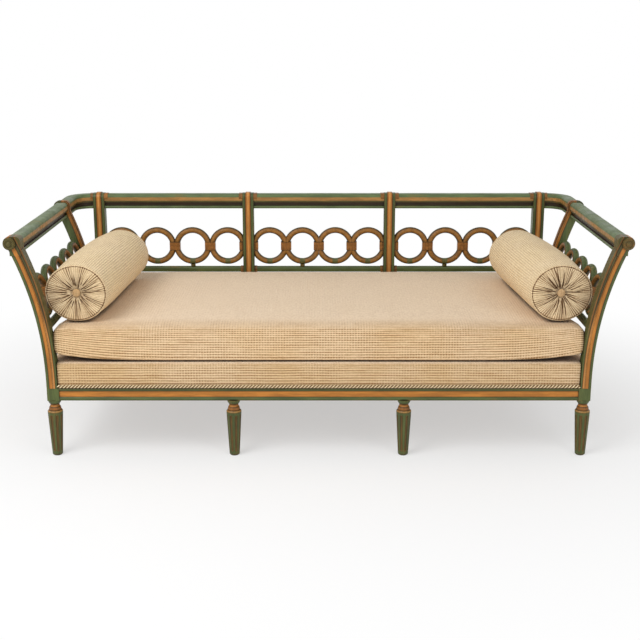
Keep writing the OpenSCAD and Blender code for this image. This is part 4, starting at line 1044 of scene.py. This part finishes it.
# Its ends stay between the posts, and it lies flat on the deck and under the bolsters
flat = np.clip((np.abs(after[:, 0]) - BOLSTER_FROM) / BOLSTER_BLEND, 0, 1)
after[:, 2] = np.clip(after[:, 2], before[:, 2], before[:, 2] + CROWN * (1 - flat))
after[:, 0] = np.clip(after[:, 0], low.x - PAST_END, high.x + PAST_END)
after[:, 1] = np.clip(after[:, 1], low.y - PAST_FRONT, high.y + PAST_FRONT)
cushion.data.vertices.foreach_set("co", after.ravel())
cushion.data.update()
shaped(cushion, "SMOOTH", factor=0.5, iterations=1)
shaped(cushion, "SUBSURF", levels=1, render_levels=1)
# Its front and end edges are square at the foot, and only its front corners curl up. The ends
# press against the posts, whose inner faces lean away as they rise
FRONT_FROM, FRONT_FULL = -0.30, 0.12
SWELL_FROM, END_SWELL, ROUND, CURL = 0.14, 0.0145, 0.030, 0.040
EDGE_H, EDGE_REACH, BULGE_REACH = 0.124, 0.06, 0.08
BOW, BULGE, HANG, HANG_GAP = 0.006, 0.008, 0.009, 0.0012
POST_FOOT_X, POST_LEAN = 0.9350, 0.0957
half = (high - low) / 2


def curl(x, y, power):
    along = max(0.0, (abs(x) / half.x - 0.45) / 0.55)
    across = max(0.0, (abs(y - centre.y) / half.y - 0.5) / 0.5)
    return CURL * along ** power * across ** 2


def squared(inside, amount):
    return inside * (1 - amount * math.exp(-(inside / ROUND) ** 2))


def near(distance, reach=EDGE_REACH):
    return 1 - distance / reach


for v in cushion.data.vertices:
    p = v.co
    front = clipped((FRONT_FROM - p.y) / FRONT_FULL)
    if not front:
        continue
    under = low.z + curl(p.x, p.y, 2)
    over = max(0.0, p.z - under)
    share = min(1.0, over / (low.z + EDGE_H - under))
    p.z -= front * (1 - share) * (curl(p.x, p.y, 2) - 0.95 * curl(p.x, p.y, 5))
    inside = max(0.0, p.y - low.y - BOW * (1 - (p.x / half.x) ** 2))
    if inside < EDGE_REACH and over < EDGE_REACH:
        p.z -= (over - squared(over, 0.8)) * near(inside)
        p.y -= (inside - squared(inside, 0.8)) * near(over)
    # The front edge bulges out and hangs a little over the rounded edge of the deck
    hang = min(HANG, max(0.0, edge_drop(max(0.0, p.y - COVER_FRONT)) - HANG_GAP))
    if over < EDGE_REACH:
        p.z -= hang * near(over) * front
    if over < BULGE_REACH and inside < EDGE_REACH:
        p.y -= BULGE * near(over, BULGE_REACH) * near(inside) * front
    p.z = max(p.z, low.z - hang * front)
    inside = max(0.0, high.x + PAST_END - abs(p.x))
    fallen = low.z + EDGE_H - p.z
    if inside < EDGE_REACH and 0 < fallen < EDGE_REACH:
        p.z += (fallen - squared(fallen, 0.5)) * near(inside) * front
    if inside < SWELL_FROM:
        swell = END_SWELL * front
        out = high.x + PAST_END + swell - squared(inside, 0.6 * front) * (1 + swell / SWELL_FROM)
        rise = max(0.0, p.z - RAIL_FACE_TOP) / SABRE_RISE
        post = POST_FOOT_X + POST_LEAN * rise ** 2
        p.x = math.copysign(min(out, max(post, high.x - PAST_END)), p.x)
bpy.ops.object.shade_smooth()

RIB_HALF, RIB_RISE, END_DROP = 0.941, 0.036, 0.034
RIB_SHADE_FRONT_STRIP = (-0.40, -0.49)


def cushion_ribs(p, face):
    """The ribs of the boxing follow the lifted corners, and run straight higher up."""
    ends = max(0.0, (abs(p.x) / RIB_HALF - 0.45) / 0.55) ** 4
    share = clipped((p.z - low.z) / (high.z - low.z))
    rise = RIB_RISE * ends * (1 - 0.6 * share)
    if abs(face.normal.x) > 0.75:
        return p.y, p.z - END_DROP * (1 - 0.6 * share)
    return p.x, p.z + p.y - rise * clipped((0.9 - abs(face.normal.z)) / 0.3)


map_ribs(cushion, cushion_ribs)


def cushion_lit_top(tree, place):
    """The painted light on the top is weaker along its front, so the painted shade in the rib
    grooves shows again there.
    """
    strip = smooth_between(tree, axes_of(tree, place)[1], *RIB_SHADE_FRONT_STRIP, 0.14, 0.75)
    return maths(tree, "MAXIMUM", lit_top_fade(tree, place), strip)


cushion_fabric = ribbed_cotton("cushion_fabric", over_ribs, along_ribs, RIB, CREAM,
                               fade=cushion_lit_top)
cushion = finish_piece("seat_cushion_pad", cushion_fabric)
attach(cushion, "seat_cushion")
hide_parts("seat_cushion")
bpy.ops.object.select_all(action="DESELECT")

# Bolsters.
# Two round bolsters of the same cotton, fatter in the middle, with its ribs along the roll. Each
# end is gathered in deep folds under a covered button, and welt cord is sewn into its seam.
BOLSTER_R, BELLY, BOLSTER_L, BOLSTER_TURN, BOLSTER_RIB = 0.1035, 0.0095, 0.720, 3.8, 0.0078
WIDE, HIGH, SAG = 1.075, 0.985, 0.005
FLATTENED = (BOLSTER_R + BELLY) * (1 - HIGH)
AROUND, SIDE_CUTS, FOLDS, GATHERS = 288, 59, 38, 75
ROLL_EASE, END_ROOM, END_RINGS = 0.001, 0.012, [0.002] * 4 + [0.004] * 20
END_FROM, END_RIM, LONG_EDGE = 0.0065, 0.0015, 0.3
PUFF, TUFT, GATHER, RIPPLE = 0.006, 0.012, 0.0009, 0.0011
FOLD_W, FOLD_WIDER = 0.0009, 0.0017
WELT_R, WELT_IN, WELT_RING_IN = 0.0034, 0.009, 0.002
BUTTON_R, BUTTON_IN, BUTTON_RIB = 0.015, 0.0105, 0.0045


def place_over(tree, place):
    return axes_of(tree, place)[2]


def place_across(tree, place):
    return axes_of(tree, place)[0]


def along_roll(tree, place):
    return axes_of(tree, place)[1]


def round_roll(centre, turn):
    """The distance round one bolster, with a whole number of ribs."""
    ribs = round(2 * math.pi * BOLSTER_R / BOLSTER_RIB)

    def over(tree, place):
        moved = node(tree, "VectorMath", {0: place, 1: tuple(centre)}, operation="SUBTRACT")
        turned = node(tree, "VectorRotate", {"Vector": moved.outputs[0], "Angle": -turn},
                      rotation_type="Z_AXIS").outputs[0]
        axes = axes_of(tree, turned)
        return maths(tree, "MULTIPLY", maths(tree, "ARCTAN2", axes[2], axes[0]),
                     ribs * BOLSTER_RIB / (2 * math.pi))
    return over


# Painted shade of the gathered ends, read from the map.
def fold_shade_of_map(tree, place):
    return smooth_between(tree, map_axes(tree, "crease")[0], 0.12, 0.8, 0.0, 0.92)


def plain_roll():
    """A drum along y. Its ends are inset in fine rings, and its side is cut along its length."""
    bpy.ops.mesh.primitive_cylinder_add(vertices=AROUND, radius=BOLSTER_R - ROLL_EASE,
                                        depth=BOLSTER_L - END_ROOM, end_fill_type="NGON",
                                        rotation=(math.pi / 2, 0, 0))
    roll = bpy.context.object
    bpy.ops.object.transform_apply(location=True, rotation=True, scale=True)
    bpy.ops.object.mode_set(mode="EDIT")
    bm = bmesh.from_edit_mesh(roll.data)
    for face in bm.faces:
        face.select_set(len(face.verts) > 10)
    bmesh.update_edit_mesh(roll.data)
    for step in END_RINGS:
        bpy.ops.mesh.inset(thickness=step)
    bpy.ops.object.mode_set(mode="OBJECT")
    bm = bmesh.new()
    bm.from_mesh(roll.data)
    long_edges = [e for e in bm.edges if abs(e.verts[0].co.y - e.verts[1].co.y) > LONG_EDGE]
    bmesh.ops.subdivide_edges(bm, edges=long_edges, cuts=SIDE_CUTS, use_grid_fill=True)
    bm.to_mesh(roll.data)
    bm.free()
    return roll


def fold_lines(draw):
    """Each fold's end, angle, reach, start, depth and lean, as the gathers happened to fall."""
    folds = []
    for end in (-1, 1):
        angle = 0.0
        while angle < 2 * math.pi - 0.12:
            folds.append((end, angle, draw.uniform(0.60, 1.1), draw.uniform(0.12, 0.34),
                          draw.uniform(0.0025, 0.005), draw.uniform(-0.2, 0.2)))
            angle += 2 * math.pi / FOLDS * draw.uniform(0.65, 1.35)
    return folds


def folded(folds, end, angle, share, radius):
    """How deep the folds cut at a place of an end, and how strongly they mark it."""
    sunk, mark = 0.0, 0.0
    for which, at, reach, begin, deep, lean in folds:
        if which != end:
            continue
        off = (angle - at - lean * share + math.pi) % (2 * math.pi) - math.pi
        width = FOLD_W + FOLD_WIDER * (1 - min(1.0, share / reach))
        far = clipped((reach - share) / 0.35)
        far *= clipped((share - begin) / 0.08 + 0.4)
        hit = math.exp(-(off * radius / width) ** 2) * far
        sunk = max(sunk, deep * hit)
        mark = max(mark, hit)
    return sunk, mark


def gather_end(p, folds):
    """Puffs, tufts and folds one point of an end, and says how much painted shade it takes: in the
    folds, along the seam under the welt, round the button and in the troughs of the pleats, over a
    light darkening of the whole end.
    """
    radius = math.hypot(p.x, p.z)
    angle = math.atan2(p.z, p.x) % (2 * math.pi)
    end = 1 if p.y > 0 else -1
    share = radius / BOLSTER_R
    sunk, mark = folded(folds, end, angle, share, radius)
    pleat = math.cos(GATHERS * angle + 1.4 * math.sin(5 * angle))
    puff = PUFF * max(0.0, 1 - (2 * (share - 0.62)) ** 2)
    tuft = -TUFT * max(0.0, 1 - share / 0.42) ** 1.2
    p.y += end * ((puff + tuft + GATHER * pleat * share - sunk) * clipped((0.985 - share) / 0.05))
    rim = math.exp(-((share - 0.955) / 0.018) ** 2) * (0.85 + 0.15 * math.cos(54 * angle))
    middle = math.exp(-((share - 0.165) / 0.03) ** 2) * 0.6
    wave = (0.5 - 0.5 * pleat) ** 1.5
    thin = 0.20 + (0.40 + 0.2 * math.sin(11 * angle)) * wave * min(1.0, share / 0.45)
    return clipped(max(mark * 0.95, rim, middle, thin))


def fill_out(p):
    """Swells one point of the side towards the middle of the roll."""
    angle = math.atan2(p.z, p.x) % (2 * math.pi)
    place = 1 - abs(2 * p.y / BOLSTER_L)
    swell = BELLY * (1 - (1 - max(0.0, place)) ** 2.6)
    swell += RIPPLE * math.sin(3 * angle + 9 * p.y) * min(1.0, place * 4)
    p.x *= 1 + swell / BOLSTER_R
    p.z *= 1 + swell / BOLSTER_R


# The button's cotton is darker than the bolster's: painted shade for the button sunk in the middle
# of the end.
shaded_button_cotton = ribbed_cotton("button_fabric", place_over, place_across, BUTTON_RIB,
                             colour(208, 170, 120), 0.5)

for side, word in ((-1, "left"), (1, "right")):
    low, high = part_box(word + "_bolster")
    centre = (low + high) / 2
    turn = math.radians(BOLSTER_TURN) * side
    roll = plain_roll()
    folds = fold_lines(random.Random(23 + side))
    fold_shades = [0.0] * len(roll.data.vertices)
    for v in roll.data.vertices:
        p = v.co
        if (abs(p.y) > BOLSTER_L / 2 - END_FROM
                and math.hypot(p.x, p.z) < BOLSTER_R - END_RIM):
            fold_shades[v.index] = gather_end(p, folds)
        else:
            fill_out(p)
        # It lies on its own weight: a little wider than high, its ends lower than its middle
        p.x *= WIDE
        p.z = p.z * HIGH - FLATTENED - SAG * (2 * p.y / BOLSTER_L) ** 2
    layer = roll.data.uv_layers.new(name="crease")
    for loop in roll.data.loops:
        layer.data[loop.index].uv = (fold_shades[loop.vertex_index], 0.5)
    bpy.ops.object.shade_smooth()
    roll.rotation_euler = (0, 0, turn)
    roll.location = centre
    round_it = round_roll(centre, turn)
    # The bolster's paler cream is painted light.
    fabric = ribbed_cotton(word + "_bolster_fabric", round_it, along_roll, BOLSTER_RIB,
                           LIT_BOLSTER_CREAM, 0.42, crease=fold_shade_of_map)
    roll = finish_piece(word + "_bolster_roll", fabric)
    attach(roll, word + "_bolster")
    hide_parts(word + "_bolster")
    bpy.ops.object.select_all(action="DESELECT")

    welt_fabric = ribbed_cotton(word + "_welt_fabric", round_it, along_roll, BOLSTER_RIB / 2,
                                LIT_BOLSTER_CREAM, 0.8)
    axis = Vector((-math.sin(turn), math.cos(turn), 0))
    drop = Vector((0, 0, FLATTENED + SAG))
    welts, buttons = [], []
    for end in (-1, 1):
        bpy.ops.mesh.primitive_torus_add(
            major_segments=160, minor_segments=10, major_radius=BOLSTER_R - WELT_RING_IN,
            minor_radius=WELT_R, rotation=(math.pi / 2, 0, turn),
            location=centre + axis * end * (BOLSTER_L / 2 - WELT_IN) - drop)
        bpy.context.object.scale = (WIDE, HIGH, 1)
        bpy.ops.object.shade_smooth()
        welts.append(bpy.context.object)
        bpy.ops.mesh.primitive_uv_sphere_add(
            segments=40, ring_count=20, radius=BUTTON_R, rotation=(math.pi / 2, 0, turn),
            location=centre + axis * end * (BOLSTER_L / 2 - BUTTON_IN) - drop)
        bpy.context.object.scale = (1, 1, 0.5)
        bpy.ops.object.shade_smooth()
        buttons.append(bpy.context.object)
    for group, name, slot_name, cloth in ((welts, "_bolster_welt_cords", "welt", welt_fabric),
                                          (buttons, "_bolster_covered_buttons", "button",
                                           shaded_button_cotton)):
        joined(group)
        piece = finish_piece(word + name, cloth)
        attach(piece, word + "_bolster")
        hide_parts(word + "_bolster_" + slot_name + "s")
        bpy.ops.object.select_all(action="DESELECT")

# Sizes, and the end.
# The box of the dressed piece is found, leaving out the floor.
low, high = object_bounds()
